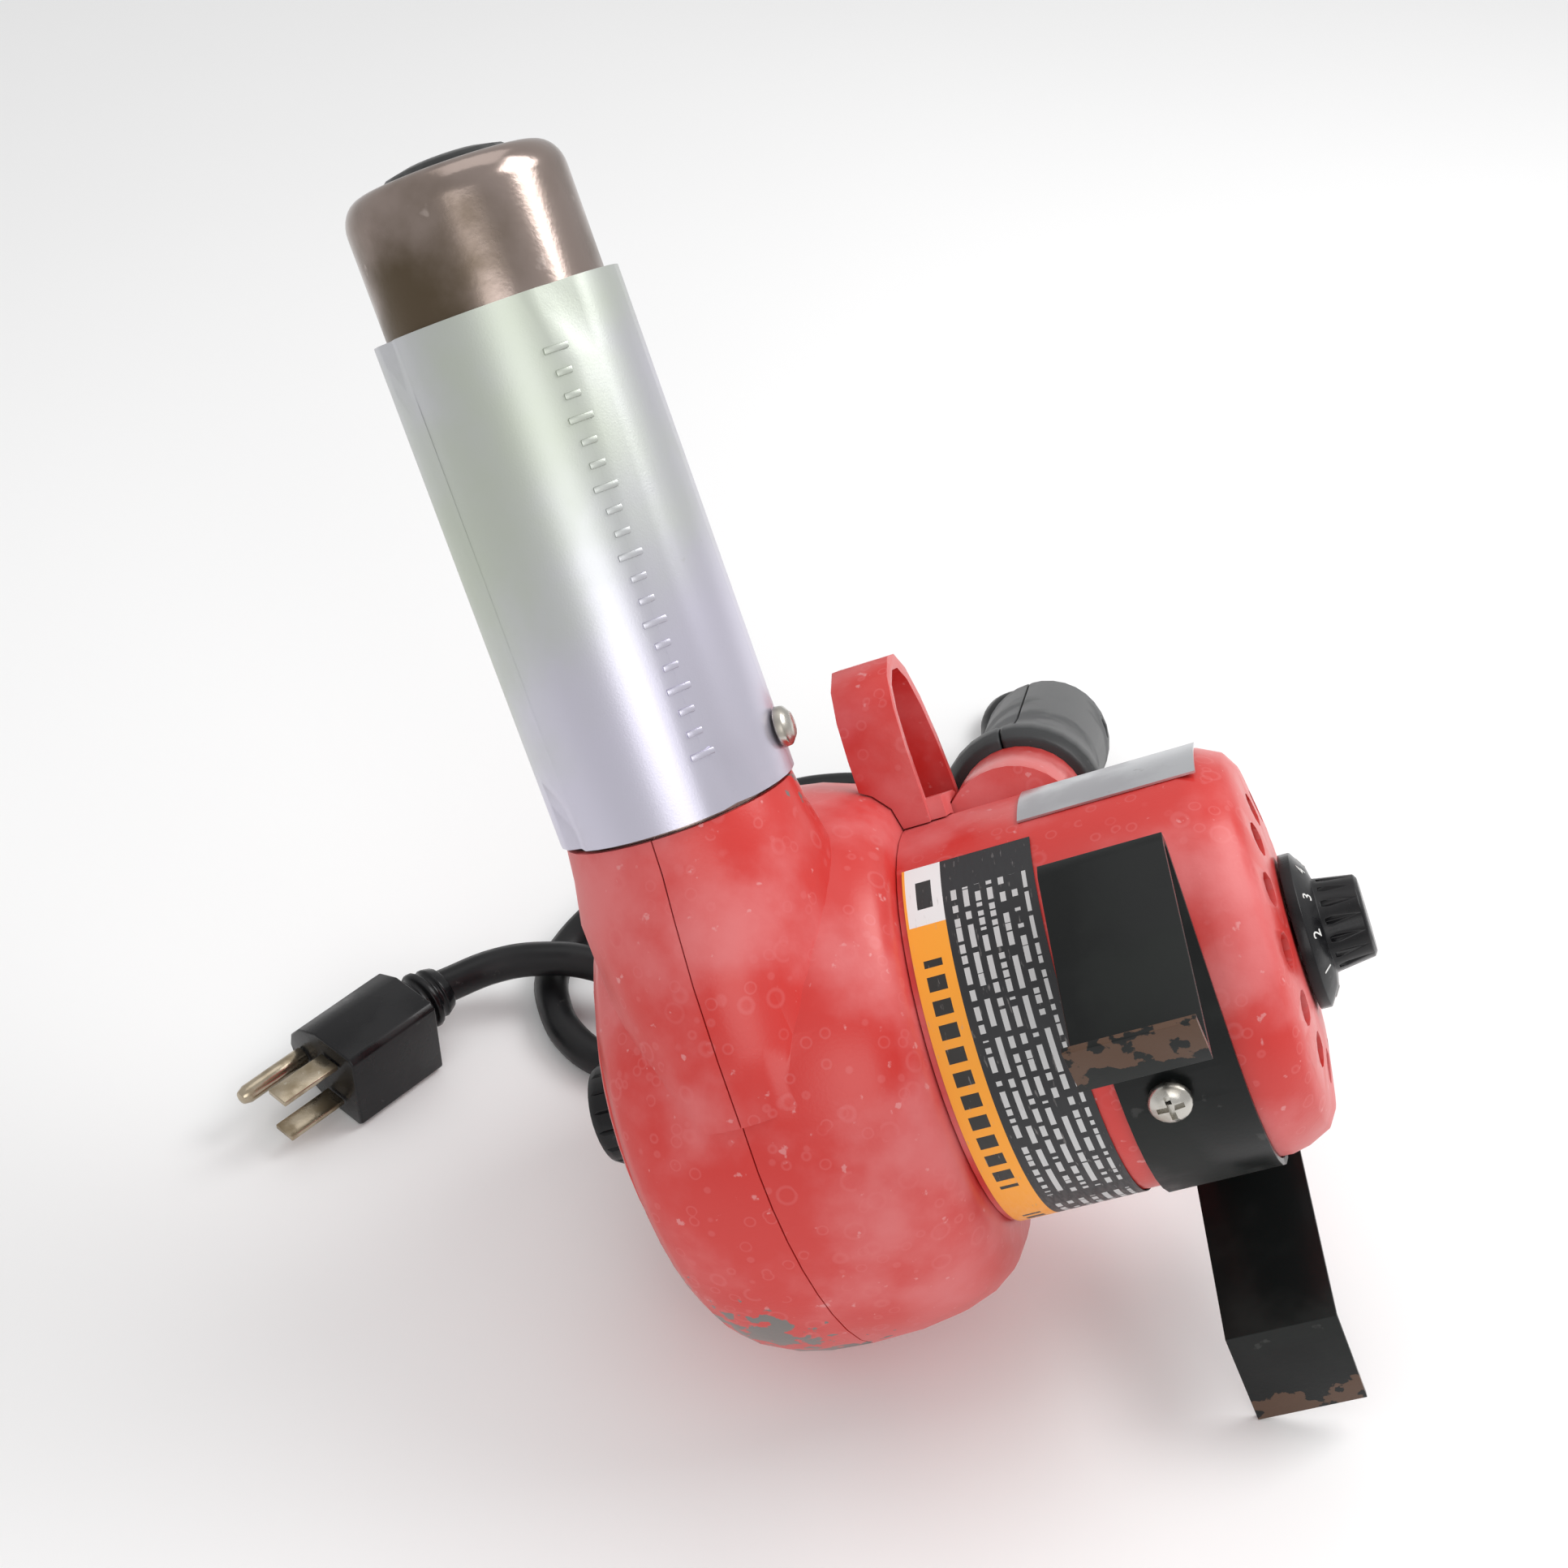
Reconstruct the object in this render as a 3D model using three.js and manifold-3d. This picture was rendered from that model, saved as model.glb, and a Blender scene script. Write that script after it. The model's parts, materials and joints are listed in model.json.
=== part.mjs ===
// Stand-mounted heat gun: die-cast blower housing, steel nozzle and shield, strap stand and cord.
// Millimetres, +Z up. The gun is drawn in its own axes (X the fan axis towards the dial end,
// Z the nozzle direction, +Y the handle side) and then leaned onto its three resting points.
import * as THREE from 'three';
import { mergeVertices } from 'three/addons/utils/BufferGeometryUtils.js';
import Module from 'manifold-3d';

const wasm = await Module();
wasm.setup();

// Driving dimensions.
const GAP = 0.3;
const WALL = 3;
const LEAN_BACK = 26.6;
const TIP_UP = 21.9;
const NOZZLE_Y = -25;
const TUBE_RADIUS = 22.8;
const TUBE_WALL = 1;
const TUBE_START = 58;
const TUBE_END = 204.2;
const LIP_RADIUS = 6;
const SHIELD_RADIUS = 25.6;
const SHIELD_START = 70;
const SHIELD_END = 176.5;
const SHIELD_DIMPLE = 1.6;
const SHIELD_SCREW_TURNS = [0, 1.9];
const NECK_TOP = 69;
const NECK_RADIUS = 24.7;
const SCROLL_RADIUS = 60.5;
const SCROLL_LEFT = 30;
const SCROLL_RIGHT = 37;
const CAN_RADIUS = 44.3;
const CAN_START = SCROLL_RIGHT + GAP;
const CAN_SHOULDER = 106.6;
const CAN_END = 111;
const VENT_COUNT = 14;
const VENT_RADIUS = 3.8;
const VENT_CIRCLE = 28.5;
const COVER_RADIUS = 42;
const COVER_THICKNESS = 4;
const SHUTTER_KNOB_RADIUS = 12;
const DIAL_RADIUS = 16.8;
const DIAL_GRIP_RADIUS = 9.6;
const HANDLE_RADIUS = 18;
const HANDLE_ROOT = new THREE.Vector3(56, 48, 30);
const HANDLE_BUTT = new THREE.Vector3(47.5, 188.5, 14.6);
const STRAP_LEFT = 71.2;
const STRAP_WIDTH = 24.6;
const STRAP_THICKNESS = 1.5;
const TOE_Y = -1.6;
const TOE_Z = -107.2;
const GUARD_LEFT = 30.5;
const GUARD_WIDTH = 13;
const GUARD_THICKNESS = 3.2;
const SHAFT_RADIUS = 4;
const RELIEF_LENGTH = 9;
const CORD_RADIUS = 4.6;
const COIL_TURN_RADIUS = 50;

const FINISHES = {
  red: { color: 0xa8232c, roughness: 0.55, metalness: 0.1 },
  bronze: { color: 0x9a8772, roughness: 0.32, metalness: 0.95 },
  satin: { color: 0xc9cbd0, roughness: 0.38, metalness: 0.9 },
  nickel: { color: 0xb8b4aa, roughness: 0.35, metalness: 0.95 },
  enamel: { color: 0x1b1c1e, roughness: 0.5, metalness: 0.3 },
  black: { color: 0x17171a, roughness: 0.5, metalness: 0 },
  grey: { color: 0x35373a, roughness: 0.7, metalness: 0 },
  rubber: { color: 0x1c1c1f, roughness: 0.75, metalness: 0 },
  label: { color: 0x16161a, roughness: 0.45, metalness: 0 },
  plate: { color: 0xb9bcc0, roughness: 0.4, metalness: 0.85 },
  ceramic: { color: 0xd8d0bf, roughness: 0.85, metalness: 0 },
  copper: { color: 0xb26a3c, roughness: 0.4, metalness: 0.9 },
  brass: { color: 0xb59a56, roughness: 0.35, metalness: 0.95 },
  steel: { color: 0x8d9095, roughness: 0.4, metalness: 0.9 },
  board: { color: 0x2f5a3a, roughness: 0.7, metalness: 0 },
};

/** Merges shared vertices, drops slivers and turns every face outward. */
function closed(geometry) {
  const bare = geometry.clone();
  bare.deleteAttribute('normal');
  bare.deleteAttribute('uv');
  const merged = mergeVertices(bare, 1e-4);
  const position = merged.attributes.position;
  const corner = [new THREE.Vector3(), new THREE.Vector3(), new THREE.Vector3()];
  const index = [];
  let volume = 0;
  for (let i = 0; i < merged.index.count; i += 3) {
    const ids = [0, 1, 2].map((k) => merged.index.getX(i + k));
    if (new Set(ids).size < 3) continue;
    ids.forEach((id, k) => corner[k].fromBufferAttribute(position, id));
    volume += corner[0].dot(corner[1].clone().cross(corner[2]));
    index.push(...ids);
  }
  if (volume < 0) index.reverse();
  merged.setIndex(index);
  merged.computeVertexNormals();
  return merged;
}

function toSolid(geometry) {
  const clean = closed(geometry);
  return new wasm.Manifold(new wasm.Mesh({
    numProp: 3,
    vertProperties: Float32Array.from(clean.attributes.position.array),
    triVerts: Uint32Array.from(clean.index.array),
  }));
}

function fromSolid(solid) {
  const mesh = solid.getMesh();
  const geometry = new THREE.BufferGeometry();
  geometry.setAttribute('position', new THREE.BufferAttribute(Float32Array.from(mesh.vertProperties), 3));
  geometry.setIndex(Array.from(mesh.triVerts));
  geometry.computeVertexNormals();
  return geometry;
}

const subtract = (base, ...cutters) => cutters.reduce((left, cutter) => left.subtract(cutter), base);
const unite = (base, ...others) => others.reduce((left, other) => left.add(other), base);

/** Lathe about the fan axis from [radius, x] pairs. */
function aboutX(profile, segments) {
  const points = profile.map(([r, x]) => new THREE.Vector2(r, x));
  return new THREE.LatheGeometry(points, segments).rotateZ(-Math.PI / 2);
}

/** Lathe about the nozzle axis from [radius, z] pairs. */
function aboutZ(profile, segments) {
  const points = profile.map(([r, z]) => new THREE.Vector2(r, z));
  return new THREE.LatheGeometry(points, segments).rotateX(Math.PI / 2).translate(0, NOZZLE_Y, 0);
}

/** Straight disc or tube about the fan axis. */
function discX(x0, x1, outer, inner = 0, segments = 32) {
  const wall = [[outer, x0], [outer, x1], [inner, x1], [inner, x0]];
  return aboutX(inner > 0 ? [...wall, [outer, x0]] : [[0, x0], [outer, x0], [outer, x1], [0, x1]], segments);
}

/** Straight disc or tube about the nozzle axis. */
function discZ(z0, z1, outer, inner = 0, segments = 32) {
  const wall = [[outer, z0], [outer, z1], [inner, z1], [inner, z0]];
  return aboutZ(inner > 0 ? [...wall, [outer, z0]] : [[0, z0], [outer, z0], [outer, z1], [0, z1]], segments);
}

function block(x0, x1, y0, y1, z0, z1) {
  const shape = new THREE.BoxGeometry(x1 - x0, y1 - y0, z1 - z0);
  return shape.translate((x0 + x1) / 2, (y0 + y1) / 2, (z0 + z1) / 2);
}

/** A cylinder between two points. */
function rod(from, to, radius, segments = 16) {
  const span = to.clone().sub(from);
  const shape = new THREE.CylinderGeometry(radius, radius, span.length(), segments);
  const turn = new THREE.Quaternion().setFromUnitVectors(new THREE.Vector3(0, 1, 0), span.normalize());
  return shape.applyQuaternion(turn).translate(...from.clone().add(to).multiplyScalar(0.5).toArray());
}

/** A strip of even thickness along a y-z path, as wide as the given x range. */
function strip(path, thickness, x0, x1) {
  const points = path.map(([y, z]) => new THREE.Vector2(y, z));
  const side = points.map((point, i) => {
    const before = points[Math.max(i - 1, 0)];
    const after = points[Math.min(i + 1, points.length - 1)];
    const ahead = after.clone().sub(point).normalize();
    const behind = point.clone().sub(before).normalize();
    const along = ahead.clone().add(behind).normalize();
    const spread = 1 / Math.max(along.dot(i < points.length - 1 ? ahead : behind), 0.5);
    return new THREE.Vector2(-along.y, along.x).multiplyScalar(thickness / 2 * spread);
  });
  const outer = points.map((point, i) => point.clone().add(side[i]));
  const inner = points.map((point, i) => point.clone().sub(side[i]));
  const shape = new THREE.Shape([...outer, ...inner.reverse()]);
  const solid = new THREE.ExtrudeGeometry(shape, { depth: x1 - x0, bevelEnabled: false });
  const turn = new THREE.Matrix4().makeBasis(
    new THREE.Vector3(0, 1, 0), new THREE.Vector3(0, 0, 1), new THREE.Vector3(1, 0, 0));
  return solid.applyMatrix4(turn).translate(x0, 0, 0);
}

const gun = new THREE.Group();
const leaned = new THREE.Group();
const object = new THREE.Group();
leaned.rotation.x = -THREE.MathUtils.degToRad(LEAN_BACK);
gun.rotation.y = -THREE.MathUtils.degToRad(TIP_UP);
gun.add(leaned);
object.add(gun);

function addPiece(name, finish, shape, parent = leaned) {
  const geometry = shape.isBufferGeometry ? closed(shape) : fromSolid(shape);
  const mesh = new THREE.Mesh(geometry, new THREE.MeshStandardMaterial(FINISHES[finish]));
  mesh.name = name;
  parent.add(mesh);
  return mesh;
}

// Blower housing.
const scrollGrowth = (angle) => {
  const fromFront = Math.atan2(Math.sin(angle), Math.cos(angle));
  return 1 - 0.03 * Math.cos(fromFront) + 0.05 * Math.exp(-(((fromFront - 1.25) / 0.5) ** 2));
};

/** The scroll as a lathe about the fan axis whose rim radius follows the volute; shrink insets it. */
function scrollSolid(shrink) {
  const rows = shrink > 0 ? 3 : 6;
  const profile = [[0, -SCROLL_LEFT + shrink]];
  const bend = (value) => Math.sign(value) * Math.abs(value) ** 0.85;
  for (let i = 0; i <= rows; i += 1) {
    const turn = (1 - i / rows) * Math.PI / 2;
    profile.push([46 + (SCROLL_RADIUS - 46) * bend(Math.cos(turn)) - shrink,
      -(SCROLL_LEFT - shrink) * bend(Math.sin(turn))]);
  }
  for (let i = 1; i <= rows; i += 1) {
    const turn = i / rows * Math.PI / 2;
    profile.push([CAN_RADIUS + (SCROLL_RADIUS - CAN_RADIUS) * bend(Math.cos(turn)) - shrink,
      (SCROLL_RIGHT - shrink) * bend(Math.sin(turn))]);
  }
  profile.push([0, SCROLL_RIGHT - shrink]);
  const shape = aboutX(profile, shrink > 0 ? 24 : 44);
  const position = shape.attributes.position;
  for (let i = 0; i < position.count; i += 1) {
    const y = position.getY(i);
    const z = position.getZ(i);
    const radius = Math.hypot(y, z);
    const share = THREE.MathUtils.smoothstep(radius, 40, SCROLL_RADIUS - shrink);
    const factor = 1 + (scrollGrowth(Math.atan2(-z, -y)) - 1) * share;
    position.setY(i, y * factor);
    position.setZ(i, z * factor);
  }
  return toSolid(shape);
}

/** The outlet neck flaring down into the scroll. */
function neckSolid(shrink) {
  const rows = [[34, 10], [33.4, 24], [31.6, 40], [28.4, 53], [25.6, 62], [NECK_RADIUS, NECK_TOP - shrink]];
  const profile = rows.map(([r, z]) => [r - shrink, z]);
  const shape = aboutZ([[0, 10], ...profile, [0, NECK_TOP - shrink]], shrink > 0 ? 20 : 36);
  const position = shape.attributes.position;
  for (let i = 0; i < position.count; i += 1) {
    const share = THREE.MathUtils.smoothstep(position.getZ(i), 30, 62);
    position.setX(i, position.getX(i) * THREE.MathUtils.lerp(0.8, 1, share));
  }
  return toSolid(shape);
}

const outerHousing = unite(scrollSolid(0), neckSolid(0));
const innerHousing = unite(scrollSolid(WALL), neckSolid(WALL));
const tubeSocket = toSolid(discZ(TUBE_START - GAP, NECK_TOP + 5, TUBE_RADIUS + GAP, 0, 36));
const hollowHousing = subtract(outerHousing, innerHousing, tubeSocket);
const intakeSide = toSolid(block(-80, -GAP / 2, -120, 120, -120, 120));
const motorSide = toSolid(block(GAP / 2, 80, -120, 120, -120, 120));
const intakeMouth = toSolid(discX(-SCROLL_LEFT - 5, -SCROLL_LEFT + WALL + 2, 34, 0, 40));
const shaftBore = toSolid(discX(20, 60, SHAFT_RADIUS + 4, 0, 24));
const coolingSlots = [0, 1, 2, 3, 4, 5].map((i) => {
  const slot = new THREE.CylinderGeometry(5, 5, 20, 8).rotateZ(Math.PI / 2).translate(35, 0, 22);
  return toSolid(slot.rotateX(i * Math.PI / 3 + Math.PI / 6));
});
addPiece('housing_intake_half', 'red', hollowHousing.intersect(intakeSide).subtract(intakeMouth));
addPiece('housing_motor_half', 'red',
  subtract(hollowHousing.intersect(motorSide), shaftBore, ...coolingSlots));

// Motor housing: can, vented end and the cast root that carries the handle.
const canOuter = [[0, CAN_START], [CAN_RADIUS, CAN_START], [CAN_RADIUS, 98], [43.4, 101.8], [41, CAN_SHOULDER],
  [37.7, 108.6], [26.2, 110.4], [15, CAN_END], [0, CAN_END]];
const canInner = [[0, CAN_START - 1], [CAN_RADIUS - WALL, CAN_START - 1], [CAN_RADIUS - WALL, 98],
  [40.2, 100.5], [38.6, 103.4], [35, 105.6], [26, 107.4], [0, 108]];
const rootAxis = HANDLE_BUTT.clone().sub(HANDLE_ROOT).normalize();
const handleTurn = new THREE.Quaternion().setFromUnitVectors(new THREE.Vector3(0, 1, 0), rootAxis);
const handleRoot = new THREE.CylinderGeometry(HANDLE_RADIUS - 2.6, HANDLE_RADIUS - 2.6, 34, 32);
handleRoot.applyQuaternion(handleTurn);
handleRoot.translate(...HANDLE_ROOT.clone().addScaledVector(rootAxis, -17 - GAP).toArray());
const vents = Array.from({ length: VENT_COUNT }, (unused, i) => {
  const turn = (i + 0.5) * 2 * Math.PI / VENT_COUNT;
  const hole = new THREE.CylinderGeometry(VENT_RADIUS, VENT_RADIUS, 20, 10).rotateZ(Math.PI / 2);
  return toSolid(hole.translate(108, -VENT_CIRCLE * Math.cos(turn), VENT_CIRCLE * Math.sin(turn)));
});
const canSolid = toSolid(aboutX(canOuter, 48));
const rootSolid = toSolid(handleRoot).subtract(toSolid(block(0, CAN_START, -120, 120, -120, 120)));
const cordBore = toSolid(rod(HANDLE_ROOT.clone().addScaledVector(rootAxis, -40),
  HANDLE_ROOT.clone().addScaledVector(rootAxis, 10), 7, 20));
const spindleBore = toSolid(discX(100, 120, 5, 0, 20));
addPiece('motor_housing', 'red',
  subtract(canSolid.add(rootSolid), toSolid(aboutX(canInner, 24)), cordBore, spindleBore, ...vents));

// Guard loop over the switch, seated on the scroll shoulder and the can.
const guardPath = [[5, 30], [5, 62], [6.5, 70], [10.5, 75.5], [17, 78], [24, 77], [31, 72.5], [37, 64.5],
  [41.5, 54], [44, 43], [45, 30]];
const guardBase = [[5, 46.5], [20, 43.5], [33, 36.5], [44, 27]];
const looseHousing = unite(scrollSolid(-GAP), neckSolid(-GAP),
  toSolid(discX(20, CAN_SHOULDER, CAN_RADIUS + GAP, 0, 56)),
  toSolid(handleRoot.clone().translate(...HANDLE_ROOT.clone().multiplyScalar(-1).toArray())
    .scale(1.025, 1.025, 1.025).translate(...HANDLE_ROOT.toArray())));
const guardBand = unite(
  toSolid(strip(guardPath, GUARD_THICKNESS, GUARD_LEFT, GUARD_LEFT + GUARD_WIDTH)),
  toSolid(strip(guardBase, 5, GUARD_LEFT + 3, GUARD_LEFT + GUARD_WIDTH + 3.5)));
addPiece('guard_loop', 'red', guardBand.subtract(looseHousing).decompose()
  .reduce((best, piece) => (piece.volume() > best.volume() ? piece : best)));

// Intake cover with slots, shutter plate behind it and the shutter knob.
const coverFace = -SCROLL_LEFT - GAP;
const coverEnd = coverFace - COVER_THICKNESS;
const slotBand = (radius, width, x0, x1) => {
  const slots = [];
  for (let i = 0; i < 6; i += 1) {
    slots.push(toSolid(block(x0, x1, -width / 2, width / 2, radius - 9, radius + 9).rotateX(i * Math.PI / 3)));
  }
  return slots;
};
const coverShell = subtract(
  toSolid(aboutX([[0, coverEnd], [COVER_RADIUS - 4, coverEnd], [COVER_RADIUS - 1.2, coverEnd + 1.2],
    [COVER_RADIUS, coverEnd + 4], [COVER_RADIUS, coverFace], [0, coverFace]], 40)),
  toSolid(discX(coverEnd + 2, coverFace + 1, 35.5, 0, 28)),
  toSolid(discX(coverEnd - 1, coverEnd + 4, 3.6, 0, 20)),
  ...slotBand(24, 10, coverEnd - 1, coverEnd + 4));
addPiece('intake_cover', 'red', coverShell);
addPiece('intake_shutter', 'enamel', subtract(
  toSolid(discX(coverEnd + 2 + GAP, coverEnd + 3.5, 34.5, 3.4, 28)),
  ...slotBand(24, 11, coverEnd, coverEnd + 5)));
const knobEnd = coverEnd - GAP - 15.5;
const knobRibs = Array.from({ length: 16 }, (unused, i) => {
  const groove = new THREE.CylinderGeometry(0.9, 0.9, 10, 4).rotateZ(Math.PI / 2);
  return toSolid(groove.translate(knobEnd + 7, 0, SHUTTER_KNOB_RADIUS + 0.3).rotateX(i * Math.PI / 8));
});
addPiece('shutter_knob', 'black', subtract(
  toSolid(aboutX([[0, knobEnd], [8.6, knobEnd], [11, knobEnd + 1], [SHUTTER_KNOB_RADIUS, knobEnd + 3],
    [SHUTTER_KNOB_RADIUS, coverEnd - GAP], [0, coverEnd - GAP]], 32)),
  toSolid(discX(knobEnd - 1, knobEnd + 2.2, 4.6, 0, 20)),
  toSolid(discX(knobEnd - 1, coverEnd + 1, 1.9, 0, 16)), ...knobRibs));
addPiece('shutter_screw', 'nickel', aboutX([[0, knobEnd + 0.4], [3.4, knobEnd + 0.6], [4.2, knobEnd + 1.9],
  [1.6, knobEnd + 1.9], [1.6, coverEnd + 8], [0, coverEnd + 8]], 20));

// Nozzle, heat shield and heating element.
const lipStart = TUBE_END - LIP_RADIUS - 1;
addPiece('nozzle_tube', 'bronze', aboutZ([
  [TUBE_RADIUS, TUBE_START], [TUBE_RADIUS, lipStart], [22.2, TUBE_END - 4], [20.4, TUBE_END - 1.4],
  [17.8, TUBE_END], [15.4, TUBE_END - 0.7], [15.4, TUBE_END - 1.8], [17.6, TUBE_END - 1.1],
  [19.7, TUBE_END - 2.2], [21.2, TUBE_END - 4.4], [TUBE_RADIUS - TUBE_WALL, lipStart],
  [TUBE_RADIUS - TUBE_WALL, TUBE_START], [TUBE_RADIUS, TUBE_START]], 36));
addPiece('outlet_baffle', 'enamel', aboutZ([[14.9, 197], [14.9, 203.6], [12.4, 205.6], [8, 206.6], [6, 206.8],
  [6, 205.6], [8, 205.4], [11.6, 204.5], [13.7, 203], [13.7, 197], [14.9, 197]], 20));
const shieldRows = [SHIELD_START, 74, 80, 85, 161.5, 166.5, 172.5, SHIELD_END];
const shieldShape = aboutZ([
  ...shieldRows.map((z) => [SHIELD_RADIUS, z]),
  ...[...shieldRows].reverse().map((z) => [SHIELD_RADIUS - TUBE_WALL, z]),
  [SHIELD_RADIUS, SHIELD_START]], 40);
const shieldPosition = shieldShape.attributes.position;
for (let i = 0; i < shieldPosition.count; i += 1) {
  const x = shieldPosition.getX(i);
  const y = shieldPosition.getY(i) - NOZZLE_Y;
  const z = shieldPosition.getZ(i);
  const turn = Math.atan2(x, -y);
  const near = Math.min(...[-2.36, -0.79, 0.79, 2.36].map((a) => Math.abs(turn - a)));
  const end = Math.min(z - SHIELD_START, SHIELD_END - z);
  const depth = near < 0.17 && end < 15 ? SHIELD_DIMPLE * (1 - near / 0.17) * (end < 10 ? 1 : 0.6) : 0;
  const factor = 1 - depth / Math.hypot(x, y);
  shieldPosition.setX(i, x * factor);
  shieldPosition.setY(i, y * factor + NOZZLE_Y);
}
addPiece('heat_shield', 'satin', subtract(toSolid(shieldShape),
  ...SHIELD_SCREW_TURNS.map((turn) => toSolid(rod(new THREE.Vector3(20, 0, 0), new THREE.Vector3(30, 0, 0), 2)
    .rotateZ(turn).translate(0, NOZZLE_Y, 79)))));
for (const [i, turn] of SHIELD_SCREW_TURNS.entries()) {
  const head = [[0, 4.4], [2.6, 4.1], [4.2, 2.9], [4.4, 1.2], [1.7, 1.2], [1.7, -0.7], [0, -0.7]];
  const points = head.map(([r, h]) => new THREE.Vector2(r, h));
  const screw = new THREE.LatheGeometry(points, 16).rotateZ(-Math.PI / 2);
  addPiece(`shield_screw_${i + 1}`, 'nickel',
    screw.translate(SHIELD_RADIUS - 0.9, 0, 0).rotateZ(turn).translate(0, NOZZLE_Y, 79));
}
addPiece('mica_liner', 'ceramic', discZ(84, 190, TUBE_RADIUS - TUBE_WALL - 0.6, TUBE_RADIUS - TUBE_WALL - 1.4, 32));
addPiece('element_core', 'ceramic', discZ(80, 186, 11, 3, 20));
const coilPath = new THREE.CatmullRomCurve3(Array.from({ length: 8 * 8 + 1 }, (unused, i) => {
  const turn = i / 8 * 2 * Math.PI;
  return new THREE.Vector3(14.6 * Math.cos(turn), NOZZLE_Y + 14.6 * Math.sin(turn), 90 + i * 1.4);
}));
const wireSection = new THREE.Shape([0, 1, 2, 3].map((i) => new THREE.Vector2(
  1.3 * Math.cos(i * 0.5 * Math.PI), 1.3 * Math.sin(i * 0.5 * Math.PI))));
addPiece('element_coil', 'steel', new THREE.ExtrudeGeometry(wireSection,
  { steps: 64, bevelEnabled: false, extrudePath: coilPath }));
addPiece('element_base', 'ceramic', discZ(72, 79.7, TUBE_RADIUS - TUBE_WALL - 0.4, 6, 24));

// Motor, fan and control inside the housing.
addPiece('motor_mount_plate', 'steel', subtract(toSolid(discX(38, 40.5, CAN_RADIUS - WALL - 1, 9, 28)),
  ...coolingSlots.map((slot) => slot.translate([5, 0, 0]))));
addPiece('bearing_front', 'steel', discX(37.8, 44, 8.6, SHAFT_RADIUS + GAP, 20));
addPiece('bearing_rear', 'steel', discX(92, 97, 8.6, SHAFT_RADIUS + GAP, 20));
addPiece('motor_end_bracket', 'steel', subtract(toSolid(discX(91, 94, CAN_RADIUS - WALL - 1, 9, 28)),
  ...coolingSlots.map((slot) => slot.scale([4, 1, 1]))));
addPiece('motor_shaft', 'steel', discX(-14, 98, SHAFT_RADIUS, 0, 20));
addPiece('armature', 'copper', discX(50, 76, 18, SHAFT_RADIUS + GAP / 3, 28));
addPiece('commutator', 'copper', discX(78, 88, 10, SHAFT_RADIUS + GAP / 3, 24));
addPiece('stator', 'steel', discX(50, 76, 36, 25, 32));
for (const [i, side] of [1, -1].entries()) {
  addPiece(`field_coil_${i + 1}`, 'copper',
    block(48, 78, -8, 8, side > 0 ? 19.2 : -22.6, side > 0 ? 22.6 : -19.2));
  addPiece(`brush_${i + 1}`, 'brass',
    block(80, 86, -3, 3, side > 0 ? 10.4 : -24, side > 0 ? 24 : -10.4));
}
const blades = Array.from({ length: 10 }, (unused, i) => (
  toSolid(block(-16, 21, -1, 1, 24, 41).rotateX(i * Math.PI / 5))));
addPiece('impeller', 'steel', unite(
  toSolid(discX(20, 22, 41.5, SHAFT_RADIUS + GAP / 3, 28)),
  toSolid(discX(6, 20.5, 9, SHAFT_RADIUS + GAP / 3, 24)),
  toSolid(discX(-17, -15, 41.5, 26, 28)), ...blades));
addPiece('impeller_nut', 'nickel', subtract(toSolid(discX(0, 5.6, 7, 0, 6)),
  toSolid(discX(-1, 7, SHAFT_RADIUS + GAP / 3, 0, 20))));
addPiece('potentiometer', 'steel', discX(100, 107, 9, 3.4, 20));
addPiece('dial_knob', 'black', subtract(
  toSolid(aboutX([[0, 104], [3, 104], [3, CAN_END + 0.6], [DIAL_RADIUS, CAN_END + 0.6], [DIAL_RADIUS, 114],
    [DIAL_GRIP_RADIUS + 3.4, 116.4], [DIAL_GRIP_RADIUS + 0.6, 117], [DIAL_GRIP_RADIUS - 0.7, 125.4],
    [DIAL_GRIP_RADIUS - 1.6, 126], [0, 126]], 32)),
  ...Array.from({ length: 16 }, (unused, i) => toSolid(new THREE.CylinderGeometry(0.8, 0.8, 9, 4)
    .rotateZ(Math.PI / 2).translate(122.4, 0, DIAL_GRIP_RADIUS + 0.1).rotateX(i * Math.PI / 8)))));

// Side label and rating plate, as thin skins on the can.
function canSkin(x0, x1, from, to, thickness) {
  const inner = CAN_RADIUS + 0.12;
  const steps = Math.ceil(Math.abs(to - from) / 5);
  const arc = [];
  for (let i = 0; i <= steps; i += 1) {
    const turn = THREE.MathUtils.degToRad(from + (to - from) * i / steps);
    arc.push([-(inner + thickness / 2) * Math.cos(turn), (inner + thickness / 2) * Math.sin(turn)]);
  }
  return strip(arc, thickness, x0, x1);
}
addPiece('side_label', 'label', canSkin(38.6, 66.4, 66, -100, 0.2));
addPiece('rating_plate', 'plate', canSkin(64, 102, 74, 98, 0.5));

// Strap stand: front lip and hook, saddle round the can, folded leg and toe.
const saddleRadius = CAN_RADIUS + 0.4 + STRAP_THICKNESS / 2;
const saddle = Array.from({ length: 11 }, (unused, i) => {
  const turn = THREE.MathUtils.degToRad(-8 - i * 9);
  return [-saddleRadius * Math.cos(turn), saddleRadius * Math.sin(turn)];
});
const strapPath = [[-88.6, 19.7], [-83.6, 10.7], [-53.2, 41.2], [-50.6, 42.2], [-48.9, 40.2], [-46.6, 8],
  ...saddle, [30, -47.8], [33.4, -48.6], [34.2, -51.4], [32.2, -53.4], [-11, -82], [TOE_Y, TOE_Z]];
addPiece('stand_strap', 'enamel', subtract(
  toSolid(strip(strapPath, STRAP_THICKNESS, STRAP_LEFT, STRAP_LEFT + STRAP_WIDTH)),
  toSolid(rod(new THREE.Vector3(81, -40, -9.4), new THREE.Vector3(81, -52, -12.2), 2.6))));
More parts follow.
